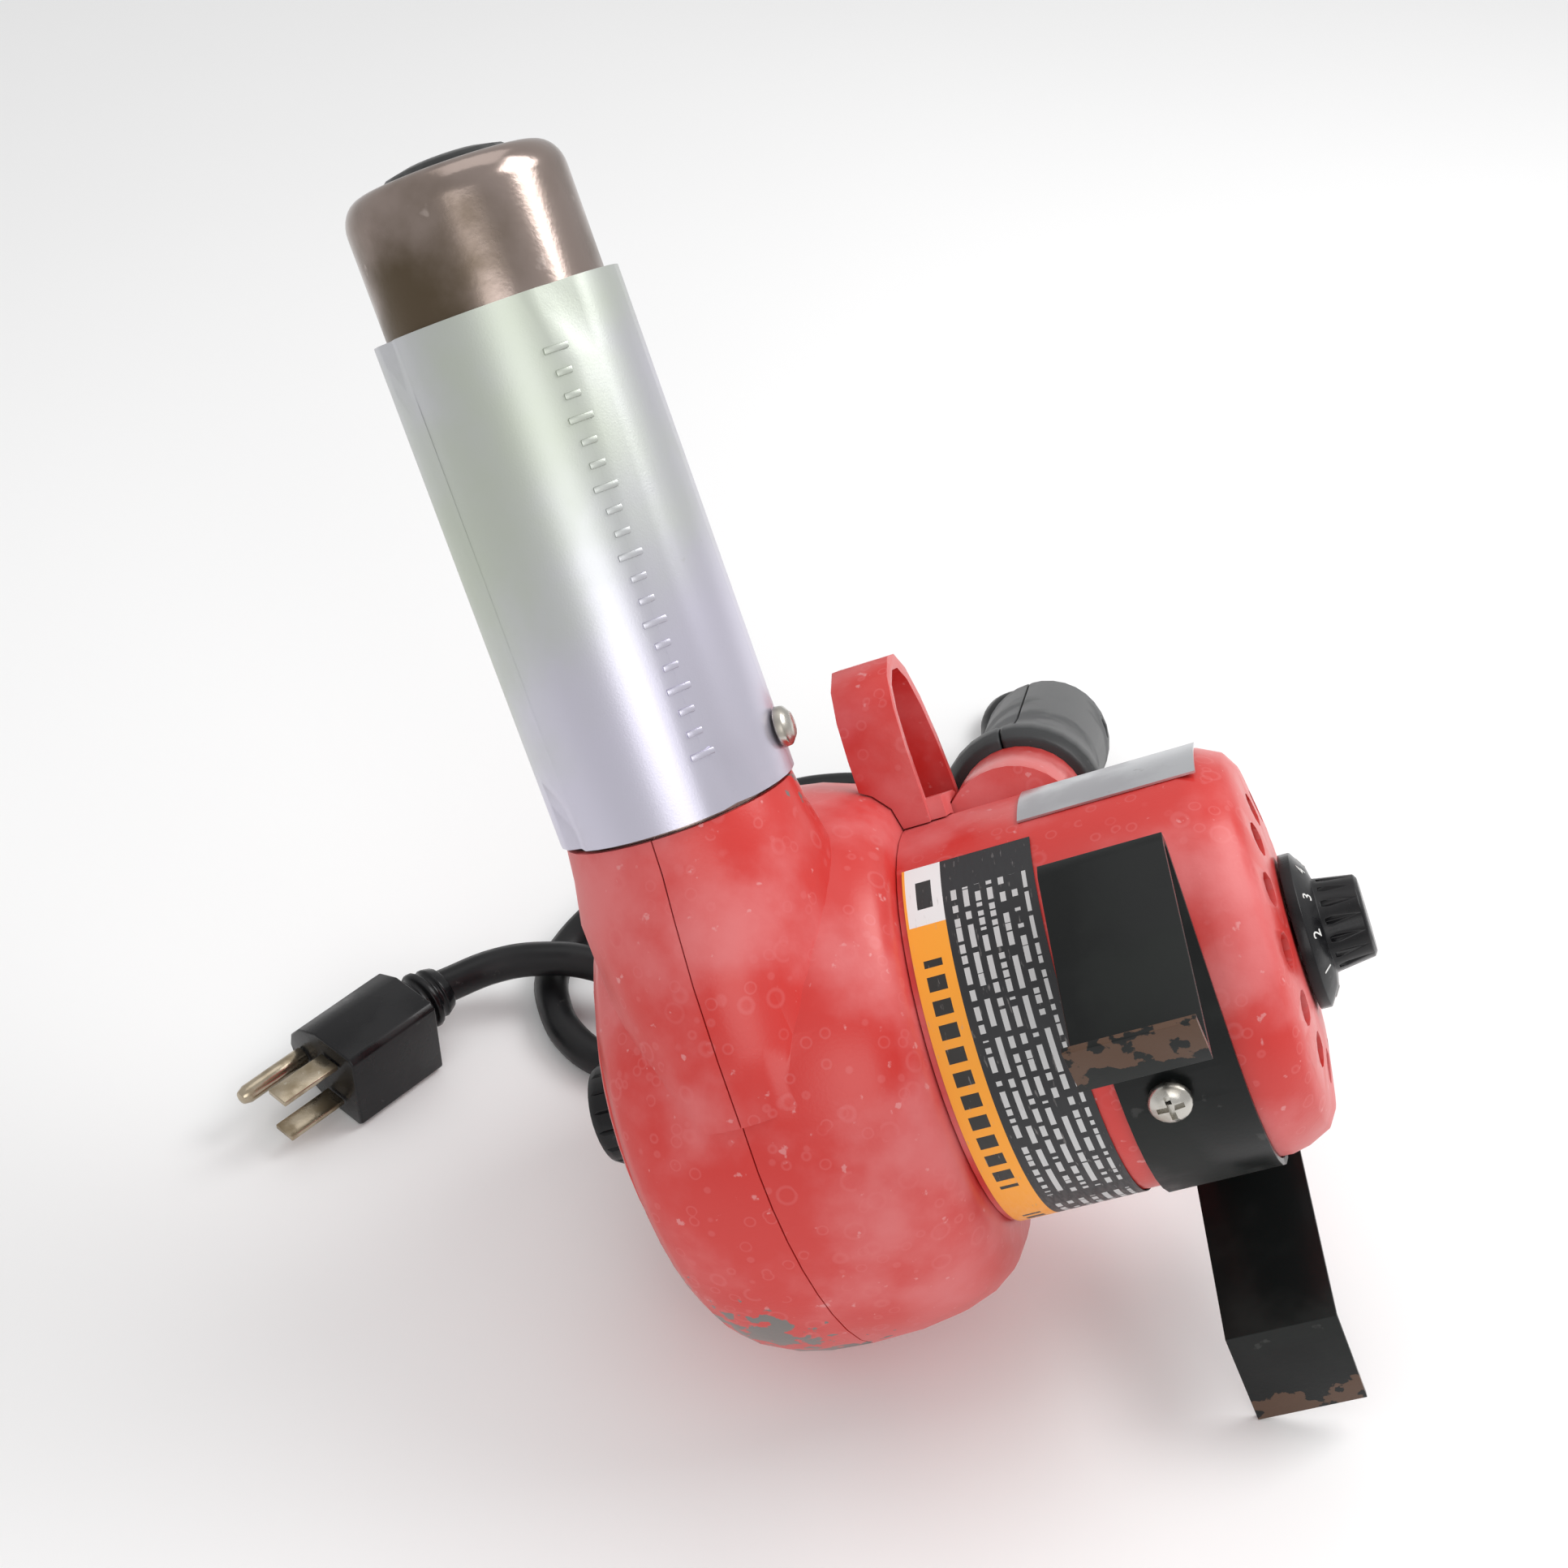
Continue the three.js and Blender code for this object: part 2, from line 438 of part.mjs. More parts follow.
addPiece('stand_screw', 'nickel', new THREE.LatheGeometry([[0, 4.2], [2.8, 3.9], [4.4, 2.8], [4.7, 1.2],
  [2.2, 1.2], [2.2, -1.2], [0, -1.2]].map(([r, h]) => new THREE.Vector2(r, h)), 20)
  .applyQuaternion(new THREE.Quaternion().setFromUnitVectors(
    new THREE.Vector3(0, 1, 0), new THREE.Vector3(0, -0.973, -0.23).normalize()))
  .translate(81, -45.4, -10.7));
addPiece('stand_tongue', 'plate', block(STRAP_LEFT + STRAP_WIDTH + GAP, 101, 2, 10, -46.4, -44.7));

// Handle halves, switch and strain relief, along the handle axis.
const handleLength = HANDLE_BUTT.distanceTo(HANDLE_ROOT);
const onHandle = (shape) => shape.applyQuaternion(handleTurn).translate(...HANDLE_ROOT.toArray());
const handleRows = [[17.6, 0], [19.4, 3], [19.8, 9], [18.2, 18], [16.4, 32], [16, 60], [16.8, 90],
  [HANDLE_RADIUS, handleLength - 14], [HANDLE_RADIUS - 0.6, handleLength - 6], [15.6, handleLength]];
const handleOuter = [[0, 0], ...handleRows, [0, handleLength]].map(([r, h]) => new THREE.Vector2(r, h));
const handleInner = [[0, 3], ...handleRows.slice(1, -1).map(([r, h]) => [r - WALL, Math.max(h, 3)]),
  [0, handleLength - 4]].map(([r, h]) => new THREE.Vector2(r, h));
const handleShell = subtract(
  toSolid(new THREE.LatheGeometry(handleOuter, 32)),
  toSolid(new THREE.LatheGeometry(handleInner, 16)),
  toSolid(new THREE.CylinderGeometry(7.4, 7.4, 10, 16)),
  toSolid(new THREE.CylinderGeometry(7.3, 7.3, 12, 20).translate(0, handleLength, 0)),
  toSolid(new THREE.CylinderGeometry(3, 3, 6, 16).rotateZ(Math.PI / 2).translate(17, handleLength - 20, 0)),
  toSolid(block(-20, -10, 13.7, 26.3, -4.3, 4.3)));
const half = (side) => toSolid(block(side > 0 ? GAP / 2 : -40, side > 0 ? 40 : -GAP / 2, -20, 200, -40, 40));
const placeSolid = (solid) => onHandle(fromSolid(solid));
addPiece('handle_left', 'grey', placeSolid(handleShell.intersect(half(-1))));
addPiece('handle_right', 'grey', placeSolid(handleShell.intersect(half(1))));
addPiece('handle_screw', 'nickel', onHandle(new THREE.CylinderGeometry(2.6, 2.6, 2, 16)
  .rotateZ(Math.PI / 2).translate(16, handleLength - 20, 0)));
addPiece('switch_body', 'black', onHandle(block(-12, 2, 11, 29, -6, 6)));
addPiece('switch_rocker', 'grey', onHandle(block(-21, -12.4, 14, 26, -4, 4)));
addPiece('control_board', 'board', block(88, 90.4, -14, 14, 28, 36));
const reliefRows = [[7, -4], [7, GAP], [8.2, GAP], [8.2, 2.6], [6.6, 3.6], [5.6, RELIEF_LENGTH],
  [CORD_RADIUS + GAP, RELIEF_LENGTH], [CORD_RADIUS + GAP, -4], [7, -4]].map(([r, h]) => new THREE.Vector2(r, h));
addPiece('strain_relief', 'rubber', onHandle(new THREE.LatheGeometry(reliefRows, 20)
  .translate(0, handleLength, 0)));

// Drop the gun onto the floor and centre it.
object.updateMatrixWorld(true);
const bounds = new THREE.Box3().setFromObject(gun, true);
gun.position.set(-(bounds.min.x + bounds.max.x) / 2, -(bounds.min.y + bounds.max.y) / 2, -bounds.min.z);
object.updateMatrixWorld(true);

// Cord, coil and plug lie on the floor, drawn in the standing axes.
const CORD_REST = CORD_RADIUS + GAP;
const COIL_CENTRE = new THREE.Vector3(-4, 50, 0);
const COIL_HALF = 9.2;
const PLUG_LENGTH = 27;
const PLUG_BOOT = 12;
const PLUG_AHEAD = new THREE.Vector3(-0.66, -0.75, 0).normalize();
const PLUG_ASIDE = new THREE.Vector3(-PLUG_AHEAD.y, PLUG_AHEAD.x, 0).negate();
const PLUG_FACE = new THREE.Vector3(-138, -16, 12.4);
const floorPoint = (x, y, z = CORD_REST) => new THREE.Vector3(x, y, z);

/** Round cord through the given points. */
function cordAlong(points, steps) {
  const ring = Array.from({ length: 8 }, (unused, i) => new THREE.Vector2(
    CORD_RADIUS * Math.cos(i * Math.PI / 4), CORD_RADIUS * Math.sin(i * Math.PI / 4)));
  const curve = new THREE.CatmullRomCurve3(points, false, 'centripetal');
  return new THREE.ExtrudeGeometry(new THREE.Shape(ring), { steps, bevelEnabled: false, extrudePath: curve });
}

const exitPoint = leaned.localToWorld(HANDLE_BUTT.clone().addScaledVector(rootAxis, RELIEF_LENGTH + GAP));
const exitWay = rootAxis.clone().transformDirection(leaned.matrixWorld);
addPiece('mains_cord', 'rubber', cordAlong([exitPoint, exitPoint.clone().addScaledVector(exitWay, 5),
  floorPoint(57.5, 138.5, 5.2), floorPoint(54, 145.5), floorPoint(46, 148), floorPoint(38, 143.5),
  floorPoint(33.5, 134), floorPoint(28.5, 124), floorPoint(21.7, 116.4), floorPoint(18.2, 107.2),
  floorPoint(16.2, 102.1)], 30), object);
const coilSection = [[COIL_HALF, -5], [COIL_HALF, 5], [5, COIL_HALF], [-5, COIL_HALF], [-COIL_HALF, 5],
  [-COIL_HALF, -5], [-5, -COIL_HALF], [5, -COIL_HALF], [COIL_HALF, -5]];
addPiece('cord_coil', 'rubber', new THREE.LatheGeometry(coilSection.map(([r, h]) => (
  new THREE.Vector2(COIL_TURN_RADIUS - 4 + r, h))), 32).rotateX(Math.PI / 2)
  .translate(COIL_CENTRE.x, COIL_CENTRE.y, COIL_HALF + GAP), object);
const plugBack = PLUG_FACE.clone().addScaledVector(PLUG_AHEAD, -PLUG_LENGTH);
const plugEntry = plugBack.clone().addScaledVector(PLUG_AHEAD, -PLUG_BOOT - GAP);
addPiece('cord_tail', 'rubber', cordAlong([floorPoint(-59.7, 50), floorPoint(-64, 50), floorPoint(-73, 47.5),
  floorPoint(-81, 40), floorPoint(-84.5, 28), floorPoint(-83, 14), floorPoint(-77, 2), floorPoint(-67, -6),
  floorPoint(-57, -8.5), floorPoint(-49.5, -3.5), floorPoint(-49, 5, 5.6), floorPoint(-54.5, 12.5, 8.2),
  floorPoint(-63, 17.5, 12), floorPoint(-74, 20.5, 14.9), floorPoint(-86, 21.5, 15.2),
  floorPoint(-98, 20.6, 13.6), plugEntry.clone().addScaledVector(PLUG_AHEAD, -5), plugEntry], 48), object);
const plugBasis = new THREE.Matrix4().makeBasis(PLUG_ASIDE, new THREE.Vector3(0, 0, 1),
  PLUG_AHEAD.clone().negate()).setPosition(PLUG_FACE);
const onPlug = (shape) => shape.applyMatrix4(plugBasis);
const plugOutline = [[-13, -10.6], [-11.6, -11.9], [1.5, -11.9], [8.6, -8.6], [12.6, -4], [13.6, 0],
  [12.6, 4], [8.6, 8.6], [1.5, 11.9], [-11.6, 11.9], [-13, 10.6]].map(([a, b]) => new THREE.Vector2(a, b));
const plugShape = new THREE.ExtrudeGeometry(new THREE.Shape(plugOutline),
  { depth: PLUG_LENGTH, bevelEnabled: false });
const bootRows = [[0, -2], [8.4, -2], [8.4, 2.4], [6.8, 3], [6.8, 4.4], [8, 5], [8, 6.6], [6.4, 7.2],
  [6.4, 8.4], [7.2, 9], [6, PLUG_BOOT], [0, PLUG_BOOT]].map(([r, h]) => new THREE.Vector2(r, h));
addPiece('plug_body', 'black', toSolid(onPlug(plugShape)).add(toSolid(onPlug(
  new THREE.LatheGeometry(bootRows, 20).rotateX(Math.PI / 2).translate(0, 0, PLUG_LENGTH)))), object);
for (const [i, height] of [6.35, -6.35].entries()) {
  addPiece(`plug_blade_${i + 1}`, 'brass', onPlug(
    block(-7.2, -0.8, height - 0.75, height + 0.75, -17, -GAP)), object);
}
addPiece('plug_earth_pin', 'brass', onPlug(new THREE.LatheGeometry([[0, GAP], [2.4, GAP], [2.4, 18],
  [1.7, 20], [0, 20.6]].map(([r, h]) => new THREE.Vector2(r, h)), 16)
  .rotateX(-Math.PI / 2).translate(7.9, 0, 0)), object);

export default object;
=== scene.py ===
"""Heat gun on its strap stand: finishes, detail pieces, cord, camera and studio light."""
import json
import logging
import math
from dataclasses import dataclass, field
from enum import Enum

import bpy
from mathutils import Matrix, Vector
from mathutils.bvhtree import BVHTree


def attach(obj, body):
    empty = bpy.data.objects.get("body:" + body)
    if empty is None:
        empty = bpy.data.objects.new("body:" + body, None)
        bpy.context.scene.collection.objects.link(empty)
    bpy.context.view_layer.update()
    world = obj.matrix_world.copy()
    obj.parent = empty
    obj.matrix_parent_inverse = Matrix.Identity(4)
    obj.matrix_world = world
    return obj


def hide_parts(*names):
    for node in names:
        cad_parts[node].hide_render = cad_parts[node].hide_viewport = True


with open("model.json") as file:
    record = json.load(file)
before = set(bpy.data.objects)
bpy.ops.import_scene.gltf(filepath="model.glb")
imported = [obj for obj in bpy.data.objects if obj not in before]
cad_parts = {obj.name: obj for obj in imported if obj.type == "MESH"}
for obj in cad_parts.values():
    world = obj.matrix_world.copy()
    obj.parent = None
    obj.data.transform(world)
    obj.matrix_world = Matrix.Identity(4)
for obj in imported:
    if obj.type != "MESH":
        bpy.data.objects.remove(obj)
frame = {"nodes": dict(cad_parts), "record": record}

LOG = logging.getLogger("heat_gun")
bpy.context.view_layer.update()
MM = 0.001

LEAN_BACK = 26.6
TIP_UP = 21.9
STANDING_SHIFT = Vector((-16.264536, -57.259378, 61.856706))
GUN_TURN = (Matrix.Rotation(-math.radians(TIP_UP), 4, "Y")
            @ Matrix.Rotation(-math.radians(LEAN_BACK), 4, "X"))
GUN_PLACE = Matrix.Translation(STANDING_SHIFT * MM) @ GUN_TURN
NOZZLE_Y = -25.0


def gun_point(x: float, y: float, z: float) -> Vector:
    """Return the standing place in metres of a point drawn on the gun in millimetres.

    Args:
        x: Distance along the fan axis.
        y: Distance towards the handle side.
        z: Distance along the nozzle direction.

    Returns:
        The point in the standing frame.
    """
    return GUN_PLACE @ (Vector((x, y, z)) * MM)


class Body(Enum):
    """The moving bodies that pieces ride on."""

    GUN = "gun"
    SHUTTER = "shutter"
    DIAL = "dial"
    ROCKER = "rocker"


class Axis(Enum):
    """The two axes that turned pieces are spun about."""

    FAN = "fan"
    NOZZLE = "nozzle"


def only(obj: bpy.types.Object) -> None:
    """Select one object alone and make it active.

    Args:
        obj: The object to select.
    """
    if bpy.context.object and bpy.context.object.mode != "OBJECT":
        bpy.ops.object.mode_set(mode="OBJECT")
    bpy.ops.object.select_all(action="DESELECT")
    obj.hide_set(False)
    obj.select_set(True)
    bpy.context.view_layer.objects.active = obj


def settle(obj: bpy.types.Object, place: Matrix) -> bpy.types.Object:
    """Bake a place into the mesh, so that the object itself stays at the origin.

    Args:
        obj: The object to settle.
        place: The matrix to bake in.

    Returns:
        The same object.
    """
    obj.data.transform(place @ obj.matrix_basis)
    obj.matrix_basis = Matrix.Identity(4)
    obj.data.update()
    return obj


def apply_modifiers(obj: bpy.types.Object) -> None:
    """Apply every modifier on the object in order.

    Args:
        obj: The object whose modifiers are applied.
    """
    only(obj)
    for name in [modifier.name for modifier in obj.modifiers]:
        bpy.ops.object.modifier_apply(modifier=name)


def smooth(obj: bpy.types.Object, degrees: float = 35.0) -> None:
    """Shade the object smooth, keeping edges sharper than the angle.

    Args:
        obj: The object to shade.
        degrees: The angle past which an edge stays sharp.
    """
    only(obj)
    bpy.ops.object.shade_smooth_by_angle(angle=math.radians(degrees))


def finished_copy(node: str, bevel_mm: float = 0.0, degrees: float = 35.0) -> bpy.types.Object:
    """Copy a CAD node, join its loose triangles, round its edges and shade it.

    Args:
        node: The CAD node's name.
        bevel_mm: Width of the rounded edges, or 0 for none.
        degrees: The angle past which an edge counts as sharp.

    Returns:
        The finished copy.
    """
    source = frame["nodes"][node]
    copy = source.copy()
    copy.data = source.data.copy()
    copy.parent = None
    copy.matrix_world = Matrix.Identity(4)
    copy.name = f"{node}_finished"
    bpy.context.collection.objects.link(copy)
    only(copy)
    bpy.ops.object.mode_set(mode="EDIT")
    bpy.ops.mesh.select_all(action="SELECT")
    bpy.ops.mesh.remove_doubles(threshold=0.00001)
    bpy.ops.mesh.dissolve_limited(angle_limit=math.radians(0.6))
    bpy.ops.object.mode_set(mode="OBJECT")
    if bevel_mm > 0:
        rounding = copy.modifiers.new("rounding", "BEVEL")
        rounding.width = bevel_mm * MM
        rounding.segments = 3
        rounding.limit_method = "ANGLE"
        rounding.angle_limit = math.radians(degrees)
        rounding.harden_normals = False
        apply_modifiers(copy)
    smooth(copy, degrees)
    return copy


def turned(name: str, profile: list[tuple[float, float]], axis: Axis, steps: int) -> bpy.types.Object:
    """Spin a closed profile about the fan or the nozzle axis.

    Args:
        name: The new piece's name.
        profile: Pairs of radius and height in millimetres, in order round the section.
        axis: The axis to spin about.
        steps: Number of steps in the full turn.

    Returns:
        The turned piece in the standing frame.
    """
    mesh = bpy.data.meshes.new(name)
    count = len(profile)
    mesh.from_pydata([(r * MM, 0, h * MM) for r, h in profile],
                     [(i, (i + 1) % count) for i in range(count)], [])
    obj = bpy.data.objects.new(name, mesh)
    bpy.context.collection.objects.link(obj)
    only(obj)
    bpy.ops.object.mode_set(mode="EDIT")
    bpy.ops.mesh.select_all(action="SELECT")
    bpy.ops.mesh.spin(steps=steps, angle=2 * math.pi, center=(0, 0, 0), axis=(0, 0, 1))
    bpy.ops.mesh.select_all(action="SELECT")
    bpy.ops.mesh.remove_doubles(threshold=0.000002)
    bpy.ops.mesh.normals_make_consistent(inside=False)
    bpy.ops.object.mode_set(mode="OBJECT")
    if axis is Axis.FAN:
        inner = Matrix.Rotation(math.pi / 2, 4, "Y")
    else:
        inner = Matrix.Translation((0, NOZZLE_Y * MM, 0))
    settle(obj, GUN_PLACE @ inner)
    smooth(obj)
    return obj


@dataclass(frozen=True)
class Wear:
    """A patch of chipped or rusty surface round a point."""

    centre: tuple[float, float, float]
    reach: float


@dataclass(frozen=True)
class Finish:
    """Everything that one procedural finish needs."""

    name: str
    base: tuple[float, float, float]
    second: tuple[float, float, float]
    speck: tuple[float, float, float]
    roughness: float
    spread: float = 0.1
    metallic: float = 0.0
    cloud_scale: float = 25.0
    cloud_low: float = 0.42
    cloud_high: float = 0.66
    speck_scale: float = 160.0
    speck_level: float = 0.68
    ring_amount: float = 0.0
    grain_scale: float = 900.0
    grain_height: float = 0.00004
    worn: tuple[float, float, float] = (0.2, 0.2, 0.2)
    wear: tuple[Wear, ...] = ()
    stretch: tuple[float, float, float] = (1.0, 1.0, 1.0)
    specular: float = 0.5


class Wiring:
    """Places and joins shader nodes in one tree."""

    def __init__(self, tree: bpy.types.NodeTree) -> None:
        """Keep the tree that nodes are placed in.

        Args:
            tree: The node tree.
        """
        self.tree = tree

    def node(self, kind: str, **values: object) -> bpy.types.Node:
        """Add a node and set its properties.

        Args:
            kind: Blender's node type name.
            **values: Properties to set on the node.

        Returns:
            The new node.
        """
        made = self.tree.nodes.new(kind)
        for name, value in values.items():
            setattr(made, name, value)
        return made

    def join(self, source: bpy.types.NodeSocket, target: bpy.types.NodeSocket) -> None:
        """Link one socket to another."""
        self.tree.links.new(source, target)

    def feed(self, socket: bpy.types.NodeSocket, value: object) -> None:
        """Link a socket value or set a plain one.

        Args:
            socket: The input socket.
            value: A socket to link, or a plain value.
        """
        if isinstance(value, bpy.types.NodeSocket):
            self.join(value, socket)
        else:
            socket.default_value = value

    def math(self, operation: str, first: object, second: object = 0.0) -> bpy.types.NodeSocket:
        """Add a math node.

        Args:
            operation: Blender's name of the operation.
            first: First value or socket.
            second: Second value or socket.

        Returns:
            The result socket.
        """
        made = self.node("ShaderNodeMath", operation=operation)
        self.feed(made.inputs[0], first)
        self.feed(made.inputs[1], second)
        return made.outputs[0]

    def blend(self, mask: object, first: object, second: object) -> bpy.types.NodeSocket:
        """Mix two colours by a mask.

        Args:
            mask: The mix factor.
            first: Colour where the mask is 0.
            second: Colour where the mask is 1.

        Returns:
            The mixed colour socket.
        """
        made = self.node("ShaderNodeMix", data_type="RGBA")
        self.feed(made.inputs[0], mask)
        for socket, value in ((made.inputs[6], first), (made.inputs[7], second)):
            self.feed(socket, value if isinstance(value, bpy.types.NodeSocket) else (*value, 1.0))
        return made.outputs[2]

    def noise(self, vector: bpy.types.NodeSocket, scale: object, detail: float = 4.0) -> bpy.types.NodeSocket:
        """Add a noise texture.

        Args:
            vector: The coordinates.
            scale: Noise scale, per metre.
            detail: Octaves.

        Returns:
            The noise value socket.
        """
        made = self.node("ShaderNodeTexNoise")
        self.join(vector, made.inputs["Vector"])
        self.feed(made.inputs["Scale"], scale)
        made.inputs["Detail"].default_value = detail
        return made.outputs["Fac"]

    def span(self, value: object, low: object, high: object,
             out_low: float = 0.0, out_high: float = 1.0) -> bpy.types.NodeSocket:
        """Map a range of values smoothly onto another.

        Args:
            value: The value to map.
            low: Value that gives out_low.
            high: Value that gives out_high.
            out_low: Result at low.
            out_high: Result at high.

        Returns:
            The mapped socket.
        """
        made = self.node("ShaderNodeMapRange", interpolation_type="SMOOTHSTEP")
        for index, item in enumerate((value, low, high, out_low, out_high)):
            self.feed(made.inputs[index], item)
        return made.outputs[0]


class EffectLibrary:
    """Shared effects, each built once as a node group."""

    def __init__(self) -> None:
        """Build the groups."""
        self.cloud = self._cloud()
        self.rings = self._rings()
        self.patch = self._patch()

    @staticmethod
    def _start(name: str, inputs: list[tuple[str, str]], output: str) -> tuple[Wiring, bpy.types.Node, bpy.types.Node]:
        """Open a group with its sockets.

        Args:
            name: The group's name.
            inputs: Names and socket types of its inputs.
            output: Name of its one value output.

        Returns:
            The wiring, the input node and the output node.
        """
        group = bpy.data.node_groups.new(name, "ShaderNodeTree")
        for label, kind in inputs:
            group.interface.new_socket(name=label, in_out="INPUT", socket_type=kind)
        group.interface.new_socket(name=output, in_out="OUTPUT", socket_type="NodeSocketFloat")
        wiring = Wiring(group)
        return wiring, wiring.node("NodeGroupInput"), wiring.node("NodeGroupOutput")

    def _cloud(self) -> bpy.types.NodeTree:
        """Return the group for soft cloudy patches between two levels."""
        wiring, entry, end = self._start("cloudy_patches", [
            ("Vector", "NodeSocketVector"), ("Scale", "NodeSocketFloat"),
            ("Low", "NodeSocketFloat"), ("High", "NodeSocketFloat")], "Mask")
        value = wiring.noise(entry.outputs[0], entry.outputs[1], 6.0)
        wiring.join(wiring.span(value, entry.outputs[2], entry.outputs[3]), end.inputs[0])
        return wiring.tree

    def _rings(self) -> bpy.types.NodeTree:
        """Return the group for dried drip rings."""
        wiring, entry, end = self._start("drip_rings", [
            ("Vector", "NodeSocketVector"), ("Scale", "NodeSocketFloat"),
            ("Amount", "NodeSocketFloat")], "Mask")
        cells = wiring.node("ShaderNodeTexVoronoi")
        wiring.join(entry.outputs[0], cells.inputs["Vector"])
        wiring.join(entry.outputs[1], cells.inputs["Scale"])
        cells.inputs["Randomness"].default_value = 1.0
        away = wiring.math("ABSOLUTE", wiring.math("SUBTRACT", cells.outputs["Distance"], 0.3))
        band = wiring.span(away, 0.08, 0.01)
        parts = wiring.node("ShaderNodeSeparateColor")
        wiring.join(cells.outputs["Color"], parts.inputs[0])
        some = wiring.span(parts.outputs[0], 0.5, 0.6)
        wiring.join(wiring.math("MULTIPLY", wiring.math("MULTIPLY", band, some), entry.outputs[2]), end.inputs[0])
        return wiring.tree

    def _patch(self) -> bpy.types.NodeTree:
        """Return the group for a ragged patch round a point."""
        wiring, entry, end = self._start("ragged_patch", [
            ("Vector", "NodeSocketVector"), ("Centre", "NodeSocketVector"),
            ("Reach", "NodeSocketFloat")], "Mask")
        gap = wiring.node("ShaderNodeVectorMath", operation="DISTANCE")
        wiring.join(entry.outputs[0], gap.inputs[0])
        wiring.join(entry.outputs[1], gap.inputs[1])
        near = wiring.math("DIVIDE", gap.outputs["Value"], entry.outputs[2])
        rough = wiring.noise(entry.outputs[0], 260.0, 5.0)
        edge = wiring.math("ADD", near, wiring.math("MULTIPLY", wiring.math("SUBTRACT", rough, 0.5), 3.4))
        wiring.join(wiring.span(edge, 0.82, 0.7), end.inputs[0])
        return wiring.tree


class Dresser:
    """Makes each finish once and puts it on pieces."""

    def __init__(self) -> None:
        """Start with the shared effects and no materials."""
        self.effects = EffectLibrary()
        self.made: dict[str, bpy.types.Material] = {}

    def group(self, wiring: Wiring, tree: bpy.types.NodeTree, *values: object) -> bpy.types.NodeSocket:
        """Place a shared effect with its own values.

        Args:
            wiring: Where the group is placed.
            tree: The group.
            *values: One value or socket for each input.

        Returns:
            The group's mask socket.
        """
        made = wiring.node("ShaderNodeGroup", node_tree=tree)
        for socket, value in zip(made.inputs, values):
            wiring.feed(socket, value)
        return made.outputs[0]

    def material(self, finish: Finish) -> bpy.types.Material:
        """Return the material for a finish, making it the first time.

        Args:
            finish: The finish.

        Returns:
            The material.
        """
        if finish.name in self.made:
            return self.made[finish.name]
        material = bpy.data.materials.new(finish.name)
        material.use_nodes = True
        material.diffuse_color = (*finish.base, 1.0)
        wiring = Wiring(material.node_tree)
        shader = material.node_tree.nodes["Principled BSDF"]
        place = wiring.node("ShaderNodeTexCoord").outputs["Object"]
        mapping = wiring.node("ShaderNodeMapping")
        wiring.join(place, mapping.inputs["Vector"])
        mapping.inputs["Scale"].default_value = finish.stretch
        where = mapping.outputs[0]
        cloud = self.group(wiring, self.effects.cloud, where, finish.cloud_scale, finish.cloud_low,
                           finish.cloud_high)
        colour = wiring.blend(cloud, finish.base, finish.second)
        speck = self.group(wiring, self.effects.cloud, where, finish.speck_scale, finish.speck_level,
                           finish.speck_level + 0.05)
        colour = wiring.blend(wiring.math("MULTIPLY", speck, 0.6), colour, finish.speck)
        if finish.ring_amount > 0:
            for scale in (150.0, 260.0):
                ring = self.group(wiring, self.effects.rings, where, scale, finish.ring_amount)
                colour = wiring.blend(ring, colour, finish.second)
        roughness = wiring.span(cloud, 0.0, 1.0, finish.roughness - finish.spread, finish.roughness + finish.spread)
        for patch in finish.wear:
            chip = self.group(wiring, self.effects.patch, place, patch.centre, patch.reach)
            colour = wiring.blend(chip, colour, finish.worn)
        wiring.join(colour, shader.inputs["Base Color"])
        wiring.join(roughness, shader.inputs["Roughness"])
        shader.inputs["Metallic"].default_value = finish.metallic
        shader.inputs["Specular IOR Level"].default_value = finish.specular
        bump = wiring.node("ShaderNodeBump")
        bump.inputs["Distance"].default_value = finish.grain_height
        bump.inputs["Strength"].default_value = 0.6
        wiring.join(wiring.noise(where, finish.grain_scale, 3.0), bump.inputs["Height"])
        wiring.join(bump.outputs[0], shader.inputs["Normal"])
        self.made[finish.name] = material
        return material

    def dress(self, obj: bpy.types.Object, finish: Finish) -> None:
        """Put one finish on a piece.

        Args:
            obj: The piece.
            finish: The finish.
        """
        obj.data.materials.clear()
        obj.data.materials.append(self.material(finish))


RED = Finish("red_casting", (0.60, 0.034, 0.028), (0.68, 0.15, 0.15), (0.72, 0.30, 0.30), 0.40, 0.1,
             cloud_scale=30.0, cloud_low=0.44, cloud_high=0.68, speck_scale=300.0, speck_level=0.67,
             ring_amount=0.28, grain_scale=1400.0, worn=(0.16, 0.15, 0.14), wear=(
                 Wear(tuple(gun_point(19, -22, 66)), 0.007),
                 Wear(tuple(gun_point(-17, -38, -42)), 0.012),
                 Wear(tuple(gun_point(-8, -24, -57)), 0.012),
                 Wear(tuple(gun_point(-26, -40, -18)), 0.008)))
NOZZLE = Finish("nozzle_steel", (0.36, 0.29, 0.26), (0.12, 0.09, 0.06), (0.5, 0.42, 0.38), 0.27, 0.08,
                metallic=1.0, cloud_scale=22.0, speck_scale=120.0, speck_level=0.66)
SHIELD = Finish("shield_steel", (0.62, 0.60, 0.70), (0.52, 0.56, 0.48), (0.45, 0.45, 0.42), 0.38, 0.05,
                metallic=0.85, cloud_scale=9.0, speck_scale=90.0, speck_level=0.72, grain_scale=2600.0,
                grain_height=0.00003)
NICKEL = Finish("fastener", (0.55, 0.53, 0.49), (0.42, 0.39, 0.34), (0.3, 0.26, 0.2), 0.32, 0.08,
                metallic=1.0, cloud_scale=180.0, speck_scale=500.0)
